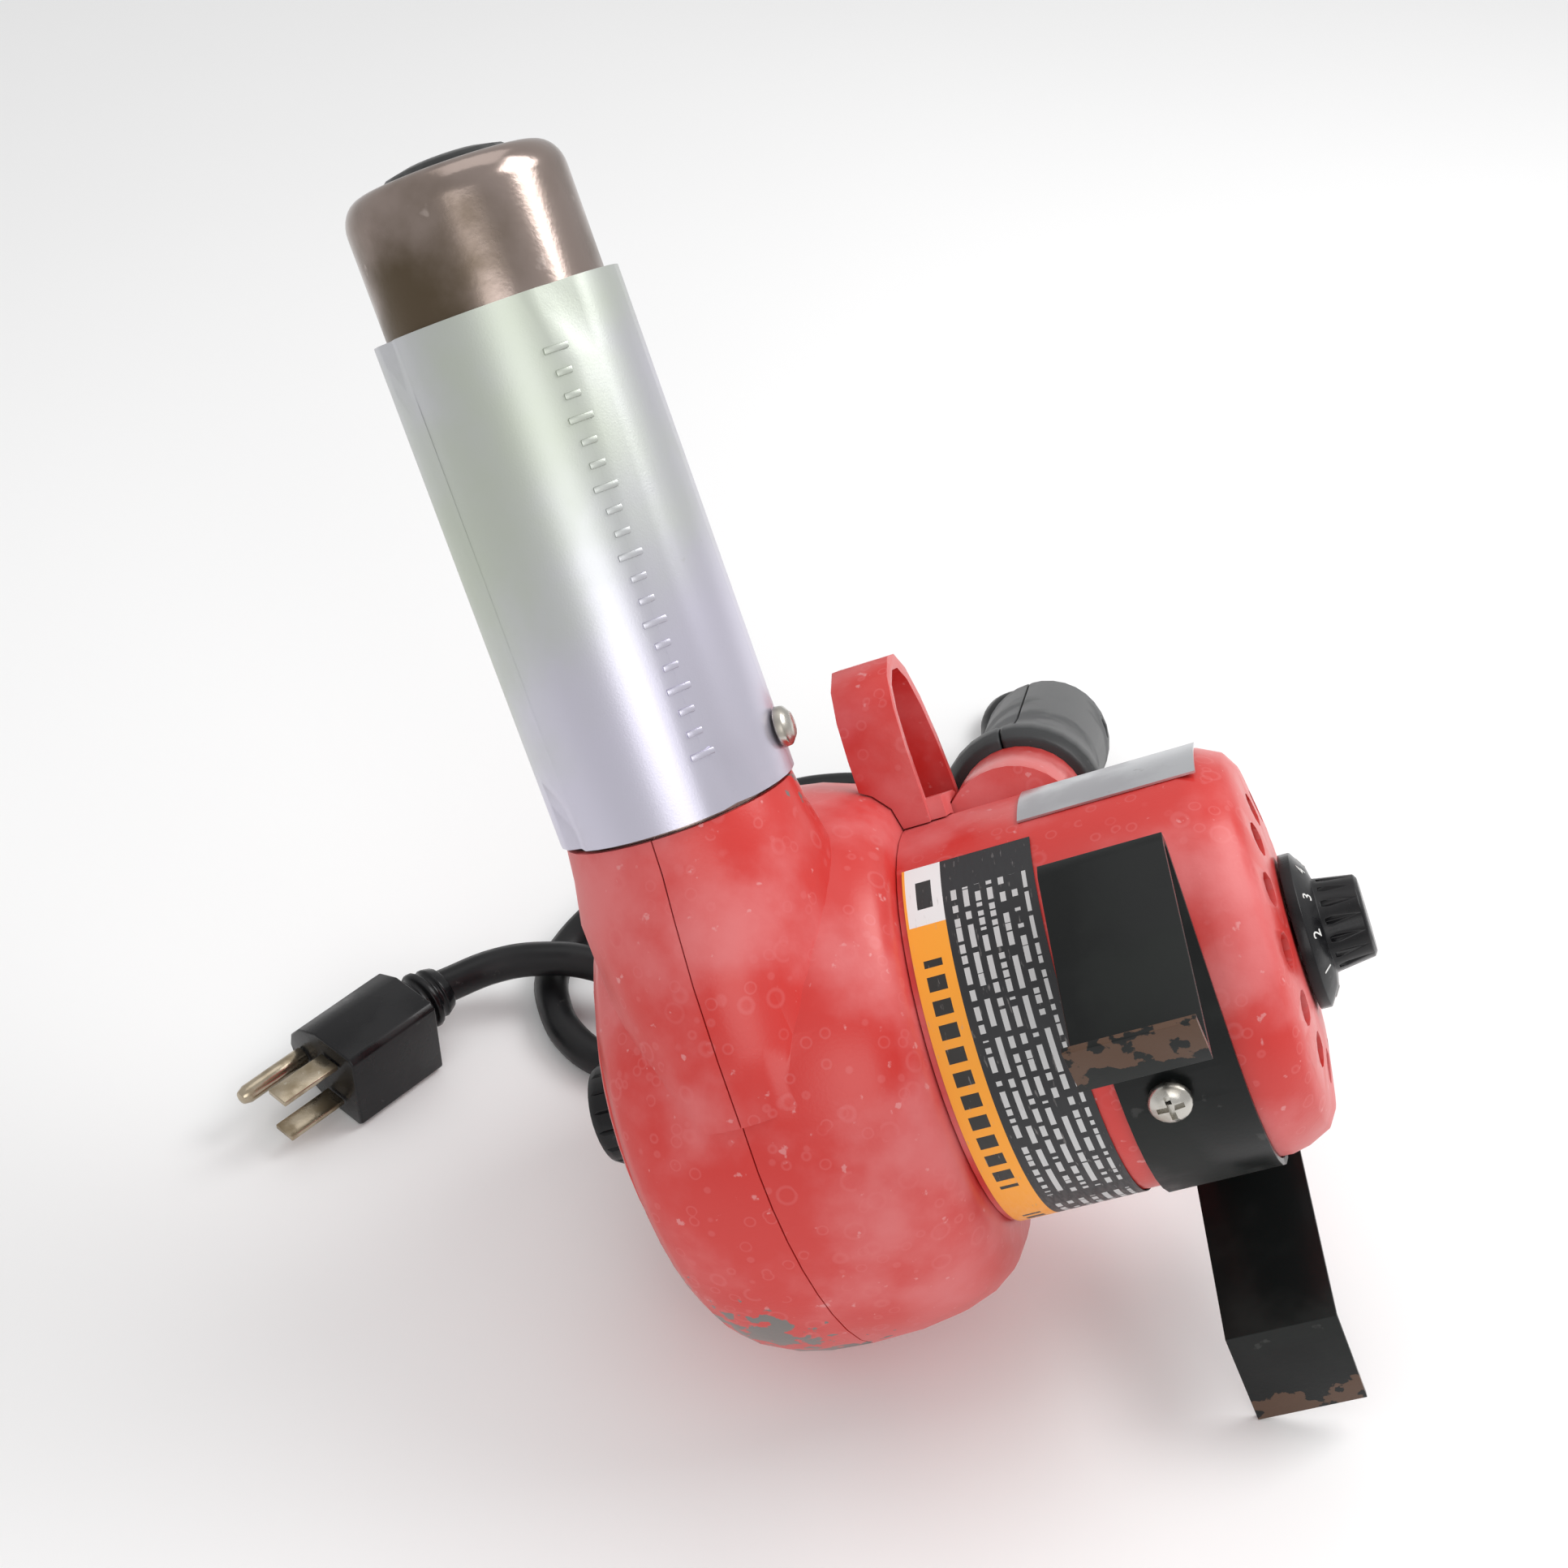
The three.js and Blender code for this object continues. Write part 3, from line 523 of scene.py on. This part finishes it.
ENAMEL = Finish("strap_enamel", (0.006, 0.007, 0.007), (0.012, 0.014, 0.013), (0.05, 0.05, 0.048), 0.40, 0.12,
                specular=0.22,
                cloud_scale=40.0, speck_scale=150.0, speck_level=0.69, worn=(0.10, 0.055, 0.035), wear=(
                    Wear(tuple(gun_point(73, -87, 17)), 0.0055),
                    Wear(tuple(gun_point(80, -87, 17)), 0.0055),
                    Wear(tuple(gun_point(87, -87, 17)), 0.0055),
                    Wear(tuple(gun_point(94, -87, 17)), 0.0055),
                    Wear(tuple(gun_point(78, -3, -105)), 0.007),
                    Wear(tuple(gun_point(92, -3, -106)), 0.006)))
BLACK = Finish("black_plastic", (0.006, 0.006, 0.007), (0.012, 0.012, 0.013), (0.05, 0.05, 0.05), 0.34, 0.1,
               specular=0.28,
               cloud_scale=60.0, speck_scale=400.0, speck_level=0.7)
GRIP = Finish("handle_plastic", (0.026, 0.028, 0.029), (0.04, 0.042, 0.044), (0.08, 0.08, 0.08), 0.52, 0.08,
              specular=0.35,
              cloud_scale=40.0, speck_scale=500.0, grain_scale=3500.0, grain_height=0.00008)
RUBBER = Finish("cord_rubber", (0.007, 0.007, 0.008), (0.015, 0.015, 0.016), (0.05, 0.05, 0.048), 0.42, 0.1,
                specular=0.28,
                cloud_scale=50.0, speck_scale=300.0)
FOIL = Finish("plate_foil", (0.6, 0.61, 0.63), (0.5, 0.5, 0.52), (0.3, 0.3, 0.3), 0.35, 0.05,
              metallic=0.9, cloud_scale=60.0)
PIN = Finish("pin_brass", (0.47, 0.40, 0.30), (0.30, 0.24, 0.16), (0.6, 0.55, 0.45), 0.3, 0.08,
             metallic=1.0, cloud_scale=150.0, speck_scale=500.0)
CERAMIC = Finish("ceramic", (0.66, 0.62, 0.52), (0.55, 0.5, 0.4), (0.4, 0.35, 0.28), 0.8)
COPPER = Finish("copper", (0.55, 0.25, 0.12), (0.4, 0.17, 0.08), (0.3, 0.12, 0.06), 0.35, metallic=1.0)
STEEL = Finish("inner_steel", (0.38, 0.39, 0.41), (0.3, 0.3, 0.32), (0.2, 0.2, 0.2), 0.35, metallic=1.0)
BOARD = Finish("board", (0.03, 0.12, 0.05), (0.04, 0.15, 0.07), (0.3, 0.25, 0.12), 0.5)
PRINT = Finish("label_print", (0.02, 0.02, 0.022), (0.03, 0.03, 0.03), (0.1, 0.1, 0.1), 0.35)
FINISHES = {finish.name: finish for finish in (
    RED, NOZZLE, SHIELD, NICKEL, ENAMEL, BLACK, GRIP, RUBBER, FOIL, PIN, CERAMIC, COPPER, STEEL, BOARD, PRINT)}


@dataclass
class Studio:
    """Camera, floor and light."""

    camera_place: Vector = field(default_factory=lambda: Vector((-0.01705, -0.40528, 0.43961)))
    right: Vector = field(default_factory=lambda: Vector((0.99992, 0.0129, -0.00015)))
    down: Vector = field(default_factory=lambda: Vector((0.00825, -0.6481, -0.76151)))
    ahead: Vector = field(default_factory=lambda: Vector((-0.00992, 0.76144, -0.64815)))
    lens: float = 52.36

    def build(self) -> None:
        """Place the camera, the floor, the lamps and the pale world."""
        lens = bpy.data.cameras.new("camera")
        lens.lens = self.lens
        lens.sensor_width = 36.0
        lens.clip_start = 0.01
        camera = bpy.data.objects.new("camera", lens)
        turn = Matrix((self.right, -self.down, -self.ahead)).transposed()
        camera.matrix_world = Matrix.Translation(self.camera_place) @ turn.to_4x4()
        bpy.context.collection.objects.link(camera)
        scene = bpy.context.scene
        scene.camera = camera
        scene.view_settings.view_transform = "Standard"
        self._floor()
        self._lamp("key", (0.5, 0.15, 0.7), (0.0, -0.05, 0.05), 0.45, 3.4)
        self._lamp("front", (0.1, -0.8, 0.6), (0.0, -0.05, 0.1), 0.5, 1.6)
        self._lamp("top", (-0.1, 0.3, 0.9), (0.0, 0.0, 0.05), 0.6, 0.8)
        world = bpy.data.worlds.new("pale_room")
        world.use_nodes = True
        world.node_tree.nodes["Background"].inputs[0].default_value = (1.0, 1.0, 1.0, 1.0)
        world.node_tree.nodes["Background"].inputs[1].default_value = 0.66
        scene.world = world

    @staticmethod
    def _floor() -> None:
        """Add the pale floor with a faint mottle."""
        bpy.ops.object.select_all(action="DESELECT")
        bpy.ops.mesh.primitive_plane_add(size=6.0, location=(0, 0, 0))
        floor = bpy.context.object
        floor.name = "studio_floor"
        material = bpy.data.materials.new("studio_paper")
        material.use_nodes = True
        wiring = Wiring(material.node_tree)
        shader = material.node_tree.nodes["Principled BSDF"]
        place = wiring.node("ShaderNodeTexCoord").outputs["Object"]
        tone = wiring.blend(wiring.noise(place, 3.0), (0.93, 0.93, 0.93), (0.97, 0.97, 0.97))
        wiring.join(tone, shader.inputs["Base Color"])
        shader.inputs["Roughness"].default_value = 0.9
        floor.data.materials.append(material)

    @staticmethod
    def _lamp(name: str, place: tuple[float, float, float], aim: tuple[float, float, float],
              size: float, power: float) -> None:
        """Add one soft square lamp.

        Args:
            name: The lamp's name.
            place: Where it hangs.
            aim: The point that it faces.
            size: Side length in metres.
            power: Power in watts.
        """
        light = bpy.data.lights.new(name, "AREA")
        light.size = size
        light.energy = power
        lamp = bpy.data.objects.new(name, light)
        lamp.location = place
        lamp.rotation_euler = (Vector(aim) - Vector(place)).to_track_quat("-Z", "Y").to_euler()
        bpy.context.collection.objects.link(lamp)


@dataclass
class MainsCord:
    """The free cord: out of the grip, round the put-away coil, and on to the plug."""

    radius: float = 4.6
    rest: float = 4.9
    centre: tuple[float, float] = (-4.0, 47.0)
    ring: float = 41.0
    half_pitch: float = 4.7
    laps: float = 4.1
    steps: int = 24
    enter: float = 112.0
    cross_from: float = 0.133
    cross_span: float = 0.278
    length: float = 1.41
    butt: Vector = field(default_factory=lambda: Vector((47.5, 188.5, 14.6)))
    grip_root: Vector = field(default_factory=lambda: Vector((56.0, 48.0, 30.0)))
    relief: float = 9.3
    plug_face: Vector = field(default_factory=lambda: Vector((-138.0, -16.0, 12.4)))
    plug_ahead: Vector = field(default_factory=lambda: Vector((-0.66, -0.75, 0.0)).normalized())
    plug_reach: float = 39.0

    def exit(self) -> Vector:
        """Return the standing point in millimetres where the cord leaves the grip."""
        return gun_point(*(self.butt + self.way() * self.relief)) / MM

    def way(self) -> Vector:
        """Return the grip's direction on the gun."""
        return (self.butt - self.grip_root).normalized()

    def coil(self) -> list[Vector]:
        """Return the centreline of the coil, whose turns change places in one short stretch."""
        points = []
        for i in range(round(self.laps * self.steps) + 1):
            turn = i / self.steps
            past = turn - self.cross_from
            share = min(1.0, (past % 1.0) / self.cross_span) if past >= 0 else 0.0
            share = share * share * (3 - 2 * share)
            station = math.floor(past) + share if past >= 0 else 0.0
            reach = self.half_pitch * math.sqrt(2)
            if station < 1:
                ring = self.ring + self.half_pitch * (3.1 - 2.1 * station)
                height = self.rest
            else:
                corner = math.radians(-45 - 90 * (station - 1))
                lift = reach * math.cos(math.radians(45 - 90 * share))
                ring = self.ring + reach * math.cos(corner)
                height = self.rest + lift + reach * math.sin(corner)
            angle = math.radians(self.enter + 360 * turn)
            points.append(Vector((self.centre[0] + ring * math.cos(angle),
                                  self.centre[1] + ring * math.sin(angle), height)))
        return points

    def route(self) -> list[Vector]:
        """Return the whole centreline in millimetres."""
        start = self.exit()
        way = GUN_TURN.to_3x3() @ self.way()
        lead = [start, start + way * 5, (57.5, 136.5, 5.2), (54, 142.5, 4.9), (47, 143.5, 4.9),
                (41.5, 138, 4.9), (40, 128, 4.9), (38.5, 115, 4.9), (33, 106, 4.9), (23, 102, 4.9),
                (10.5, 101.8, 4.9), (-4, 102.5, 4.9)]
        leave = [(-56, 62, 14.4), (-62, 54.5, 14.4), (-68, 48.5, 13.2), (-75, 43, 9), (-81, 36.5, 5.6),
                 (-84.5, 27, 4.9), (-83, 14, 4.9), (-77, 2, 4.9), (-67, -6, 4.9), (-57, -8.5, 4.9),
                 (-49.5, -3.5, 4.9), (-49, 5, 5.6), (-54.5, 12.5, 8.2), (-63, 17.5, 12), (-74, 20.5, 14.9),
                 (-86, 21.5, 15.2), (-98, 20.6, 13.6), self.plug_face - self.plug_ahead * self.plug_reach]
        return [Vector(p) for p in lead] + self.coil() + [Vector(p) for p in leave]

    def build(self, dresser: Dresser, plug: list[bpy.types.Object]) -> bpy.types.Object:
        """Args:
            dresser: Puts on the rubber.
            plug: The pieces of the plug at its far end. Not used.

        Returns:
            The cord.
        """
        points = self.route()
        curve = bpy.data.curves.new("mains_cord_line", "CURVE")
        curve.dimensions = "3D"
        curve.bevel_depth = self.radius * MM
        curve.bevel_resolution = 4
        curve.resolution_u = 6
        curve.use_fill_caps = True
        line = curve.splines.new("BEZIER")
        line.bezier_points.add(len(points) - 1)
        for knot, point in zip(line.bezier_points, points):
            knot.co = point * MM
            knot.handle_left_type = "AUTO"
            knot.handle_right_type = "AUTO"
        cord = bpy.data.objects.new("free_cord", curve)
        bpy.context.collection.objects.link(cord)
        dresser.dress(cord, RUBBER)
        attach(cord, Body.GUN.value)
        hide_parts("mains_cord", "cord_coil", "cord_tail")
        return cord


@dataclass
class Carried:
    """Keeps the drawn shapes, with rounded edges where they show."""

    rounded: tuple[tuple[str, Body, float], ...] = (
        ("housing_intake_half", Body.GUN, 0.9), ("housing_motor_half", Body.GUN, 0.9),
        ("motor_housing", Body.GUN, 0.7), ("guard_loop", Body.GUN, 1.0), ("intake_cover", Body.GUN, 0.8),
        ("heat_shield", Body.GUN, 0.0), ("outlet_baffle", Body.GUN, 0.0), ("stand_strap", Body.GUN, 0.35),
        ("stand_tongue", Body.GUN, 0.3), ("stand_screw", Body.GUN, 0.5), ("shield_screw_1", Body.GUN, 0.4),
        ("shield_screw_2", Body.GUN, 0.4), ("handle_left", Body.GUN, 0.8), ("handle_right", Body.GUN, 0.8),
        ("handle_screw", Body.GUN, 0.3), ("strain_relief", Body.GUN, 0.4), ("rating_plate", Body.GUN, 0.0),
        ("shutter_knob", Body.SHUTTER, 0.9), ("shutter_screw", Body.SHUTTER, 0.3),
        ("dial_knob", Body.DIAL, 0.6), ("switch_rocker", Body.ROCKER, 0.5))

    def build(self, dresser: Dresser, slots: dict[str, str]) -> None:
        """Round the shown pieces and dress every carried node.

        Args:
            dresser: Puts on the finishes.
            slots: The finish slot of each node.
        """
        done = {name for name, _, _ in self.rounded}
        for name, body, width in self.rounded:
            self.round_off(name, body, width, dresser, slots)
        for name, node in frame["nodes"].items():
            if name not in done:
                dresser.dress(node, FINISHES[slots[name]])
        LOG.info("dressed %d carried nodes", len(frame["nodes"]))

    @staticmethod
    def round_off(name: str, body: Body, width: float, dresser: Dresser,
                  slots: dict[str, str]) -> bpy.types.Object:
        """Replace one node by its rounded copy.

        Args:
            name: The node.
            body: The body that it rides on.
            width: Width of the rounding in millimetres.
            dresser: Puts on the finish.
            slots: The finish slot of each node.

        Returns:
            The rounded copy.
        """
        piece = finished_copy(name, width)
        if name == "stand_screw":
            CrossRecess().cut(piece)
        dresser.dress(piece, FINISHES[slots[name]])
        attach(piece, body.value)
        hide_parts(name)
        return piece


@dataclass
class Nozzle:
    """The barrel with its rolled lip, and the plain dashes pressed into the shield."""

    radius: float = 22.8
    wall: float = 1.0
    start: float = 58.0
    end: float = 204.2
    shoulder: float = 6.4
    tuck: float = 0.8
    shield_radius: float = 25.6
    dash_angle: float = 0.62
    dash_from: float = 82.0
    dash_pitch: float = 4.6
    dash_count: int = 19

    def build(self, dresser: Dresser) -> None:
        """Turn the barrel and set the dashes.

        Args:
            dresser: Puts on the finishes.
        """
        inner = self.radius - self.wall
        profile = [(self.radius, self.start), (self.radius, self.end - self.shoulder)]
        profile += [(self.radius - self.shoulder * (1 - math.cos(angle)) * self.tuck,
                     self.end - self.shoulder * (1 - math.sin(angle)))
                    for angle in (math.radians(10 * i) for i in range(1, 10))]
        rim = self.radius - self.shoulder * self.tuck
        profile += [(rim - 1.4, self.end - 0.1), (rim - 2.2, self.end - 0.7), (rim - 2.2, self.end - 1.8),
                    (rim, self.end - 1.2)]
        profile += [(rim + (inner - rim) * math.sin(angle),
                     self.end - self.shoulder + (self.shoulder - self.wall) * math.cos(angle))
                    for angle in (math.radians(15 * i) for i in range(1, 7))]
        profile += [(inner, self.start)]
        barrel = turned("nozzle_barrel", profile, Axis.NOZZLE, 112)
        dresser.dress(barrel, NOZZLE)
        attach(barrel, Body.GUN.value)
        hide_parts("nozzle_tube")
        for i in range(self.dash_count):
            self.dash(i, dresser)

    def dash(self, index: int, dresser: Dresser) -> None:
        """Set one raised dash on the shield.

        Args:
            index: Its place in the column.
            dresser: Puts on the finish.
        """
        bpy.ops.object.select_all(action="DESELECT")
        bpy.ops.mesh.primitive_cube_add(size=1)
        dash = bpy.context.object
        dash.name = f"shield_dash_{index + 1}"
        width = 3.4 if index % 3 else 5.2
        dash.scale = (width * MM, 0.7 * MM, 1.3 * MM)
        rounding = dash.modifiers.new("rounding", "BEVEL")
        rounding.width = 0.25 * MM
        rounding.segments = 2
        only(dash)
        bpy.ops.object.transform_apply(location=True, rotation=True, scale=True)
        apply_modifiers(dash)
        height = self.dash_from + self.dash_pitch * index
        place = (GUN_PLACE @ Matrix.Translation((0, NOZZLE_Y * MM, height * MM))
                 @ Matrix.Rotation(self.dash_angle, 4, "Z")
                 @ Matrix.Translation((0, -self.shield_radius * MM, 0)))
        settle(dash, place)
        smooth(dash)
        dresser.dress(dash, SHIELD)
        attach(dash, Body.GUN.value)


@dataclass
class CrossRecess:
    """The cross that a driver turns, cut into a screw's head."""

    arm: float = 5.6
    width: float = 1.2
    depth: float = 1.5
    facing: Vector = field(default_factory=lambda: Vector((0, -0.973, -0.23)).normalized())
    middle: Vector = field(default_factory=lambda: Vector((81.0, -45.4, -10.7)))

    def cut(self, screw: bpy.types.Object) -> None:
        """Cut the cross into the head.

        Args:
            screw: The rounded screw.
        """
        facing = GUN_TURN.to_3x3() @ self.facing
        centre = gun_point(*self.middle)
        top = max((vertex.co - centre).dot(facing) for vertex in screw.data.vertices)
        place = Matrix.Translation(centre + facing * top) @ facing.to_track_quat("Z", "Y").to_matrix().to_4x4()
        for quarter in (0, 1):
            bpy.ops.object.select_all(action="DESELECT")
            bpy.ops.mesh.primitive_cube_add(size=1)
            cutter = bpy.context.object
            cutter.scale = (self.arm * MM, self.width * MM, 2 * self.depth * MM)
            only(cutter)
            bpy.ops.object.transform_apply(location=True, rotation=True, scale=True)
            settle(cutter, place @ Matrix.Rotation(math.radians(25 + 90 * quarter), 4, "Z"))
            cut = screw.modifiers.new("cross", "BOOLEAN")
            cut.operation = "DIFFERENCE"
            cut.object = cutter
            cut.solver = "EXACT"
            only(screw)
            bpy.ops.object.modifier_apply(modifier=cut.name)
            bpy.data.objects.remove(cutter)


@dataclass
class SideLabel:
    """The printed wrap on the can: a coloured stripe, a pale square and broken bars."""

    radius: float = 44.47
    left: float = 38.6
    right: float = 66.4
    low: float = -100.0
    high: float = 66.0
    thickness: float = 0.25

    def build(self) -> None:
        """Wrap the label round the can and print it."""
        bpy.ops.object.select_all(action="DESELECT")
        bpy.ops.mesh.primitive_grid_add(x_subdivisions=8, y_subdivisions=96, size=2, calc_uvs=True)
        label = bpy.context.object
        label.name = "side_label_print"
        for vertex in label.data.vertices:
            across = (vertex.co.x + 1) / 2
            along = (vertex.co.y + 1) / 2
            angle = math.radians(self.low + (self.high - self.low) * along)
            vertex.co = gun_point(self.left + (self.right - self.left) * across,
                                  -self.radius * math.cos(angle), self.radius * math.sin(angle))
        skin = label.modifiers.new("thickness", "SOLIDIFY")
        skin.thickness = self.thickness * MM
        skin.offset = 1.0
        apply_modifiers(label)
        smooth(label)
        label.data.materials.append(self.print_material())
        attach(label, Body.GUN.value)
        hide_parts("side_label")

    @staticmethod
    def print_material() -> bpy.types.Material:
        """Return the printed material, laid out on the label's own map."""
        material = bpy.data.materials.new("label_print")
        material.use_nodes = True
        wiring = Wiring(material.node_tree)
        shader = material.node_tree.nodes["Principled BSDF"]
        flat = wiring.node("ShaderNodeUVMap", uv_map="UVMap").outputs[0]
        parts = wiring.node("ShaderNodeSeparateXYZ")
        wiring.join(flat, parts.inputs[0])
        across, along = parts.outputs[0], parts.outputs[1]

        def band(value: bpy.types.NodeSocket, low: float, high: float) -> bpy.types.NodeSocket:
            """Return 1 between two values and 0 elsewhere."""
            return wiring.math("MULTIPLY", wiring.math("GREATER_THAN", value, low),
                               wiring.math("LESS_THAN", value, high))

        def both(first: bpy.types.NodeSocket, second: bpy.types.NodeSocket) -> bpy.types.NodeSocket:
            """Return the overlap of two masks."""
            return wiring.math("MULTIPLY", first, second)

        def dashes(columns: float, run: float, amount: float) -> bpy.types.NodeSocket:
            """Return rows of broken bars that run along the wrap."""
            scaled = wiring.math("MULTIPLY", across, columns)
            line = wiring.math("LESS_THAN", wiring.math("FRACT", scaled), 0.46)
            spot = wiring.node("ShaderNodeCombineXYZ")
            wiring.join(wiring.math("MULTIPLY", wiring.math("FLOOR", scaled), 7.3), spot.inputs[0])
            wiring.join(wiring.math("MULTIPLY", along, run), spot.inputs[1])
            return both(line, wiring.math("GREATER_THAN", wiring.noise(spot.outputs[0], 1.0, 0.0), amount))

        upper = both(band(across, 0.36, 0.94), band(along, 0.34, 0.93))
        lower = both(band(across, 0.36, 0.94), band(along, 0.04, 0.30))
        bars = both(dashes(11.0, 70.0, 0.44), wiring.math("ADD", upper, lower))
        colour = wiring.blend(bars, (0.016, 0.016, 0.018), (0.55, 0.55, 0.55))
        colour = wiring.blend(band(across, 0.0, 0.3), colour, (0.93, 0.36, 0.025))
        bold = both(band(across, 0.08, 0.22), wiring.math("ADD", band(along, 0.40, 0.82), band(along, 0.06, 0.28)))
        ticks = wiring.math("LESS_THAN", wiring.math("FRACT", wiring.math("MULTIPLY", along, 26.0)), 0.62)
        colour = wiring.blend(both(bold, ticks), colour, (0.02, 0.018, 0.016))
        colour = wiring.blend(both(band(across, 0.02, 0.3), band(along, 0.88, 1.0)), colour, (0.80, 0.80, 0.80))
        mark = both(band(across, 0.10, 0.22), band(along, 0.91, 0.965))
        colour = wiring.blend(mark, colour, (0.02, 0.02, 0.02))
        worn = wiring.noise(flat, 30.0, 5.0)
        colour = wiring.blend(wiring.span(worn, 0.62, 0.72, 0.0, 0.35), colour, (0.35, 0.33, 0.32))
        wiring.join(colour, shader.inputs["Base Color"])
        wiring.join(wiring.span(worn, 0.3, 0.7, 0.3, 0.5), shader.inputs["Roughness"])
        return material


@dataclass
class Numerals:
    """The white figures round the dial."""

    count: int = 10
    radius: float = 13.9
    above: float = 125.0
    size: float = 3.8
    first: float = 200.0
    spread: float = 300.0
    surface: BVHTree | None = None

    def build(self, dresser: Dresser) -> None:
        """Set the figures round the dial.

        Args:
            dresser: Puts on the paint.
        """
        knob = frame["nodes"]["dial_knob"].data
        self.surface = BVHTree.FromPolygons([v.co for v in knob.vertices], [p.vertices for p in knob.polygons])
        for i in range(self.count):
            self.figure(i, dresser)

    def figure(self, index: int, dresser: Dresser) -> None:
        """Set one figure.

        Args:
            index: Its place, from 0.
            dresser: Puts on the paint.
        """
        words = bpy.data.curves.new(f"figure_{index + 1}", "FONT")
        words.body = str(index + 1)
        words.size = self.size * MM
        words.align_x = "CENTER"
        words.align_y = "CENTER"
        words.extrude = 0.08 * MM
        words.resolution_u = 2
        figure = bpy.data.objects.new(f"dial_figure_{index + 1}", words)
        bpy.context.collection.objects.link(figure)
        only(figure)
        bpy.ops.object.convert(target="MESH")
        figure = bpy.context.object
        angle = math.radians(self.first - self.spread * index / (self.count - 1))
        outward = GUN_TURN.to_3x3() @ Vector((0, math.cos(angle), math.sin(angle)))
        along = GUN_TURN.to_3x3() @ Vector((1, 0, 0))
        high = GUN_PLACE @ (Vector((self.above, 0, 0)) * MM) + outward * self.radius * MM
        spot, out, _, _ = self.surface.ray_cast(high, -along)
        up = (outward - out * outward.dot(out)).normalized()
        place = Matrix((up.cross(out), up, out)).transposed().to_4x4()
        settle(figure, Matrix.Translation(spot) @ place)
        dresser.dress(figure, FIGURE_PAINT)
        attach(figure, Body.DIAL.value)


@dataclass
class Plug:
    """The moulded plug with its three pins."""

    pins: tuple[str, ...] = ("plug_blade_1", "plug_blade_2", "plug_earth_pin")

    def build(self, dresser: Dresser) -> list[bpy.types.Object]:
        """Round the plug's pieces and return them.

        Args:
            dresser: Puts on the finishes.

        Returns:
            The body and the pins.
        """
        slots = {name: "pin_brass" for name in self.pins}
        slots["plug_body"] = "black_plastic"
        pieces = [Carried.round_off("plug_body", Body.GUN, 1.2, dresser, slots)]
        pieces += [Carried.round_off(name, Body.GUN, 0.3, dresser, slots) for name in self.pins]
        return pieces


FIGURE_PAINT = Finish("figure_paint", (0.8, 0.8, 0.78), (0.7, 0.7, 0.68), (0.4, 0.4, 0.4), 0.5)


def main() -> None:
    """Build the camera and cord first, then every piece of the gun."""
    logging.basicConfig(level=logging.INFO, format="%(name)s %(message)s")
    bpy.ops.object.select_all(action="DESELECT")
    slots = {part["node"]: part["material_slot"] for part in frame["record"]["subparts"]}
    dresser = Dresser()
    Studio().build()
    plug = Plug().build(dresser)
    MainsCord().build(dresser, plug)
    LOG.info("laid the cord")
    Carried().build(dresser, slots)
    Nozzle().build(dresser)
    SideLabel().build()
    Numerals().build(dresser)
    LOG.info("built the nozzle, label and figures")


if __name__ == "__main__":
    main()
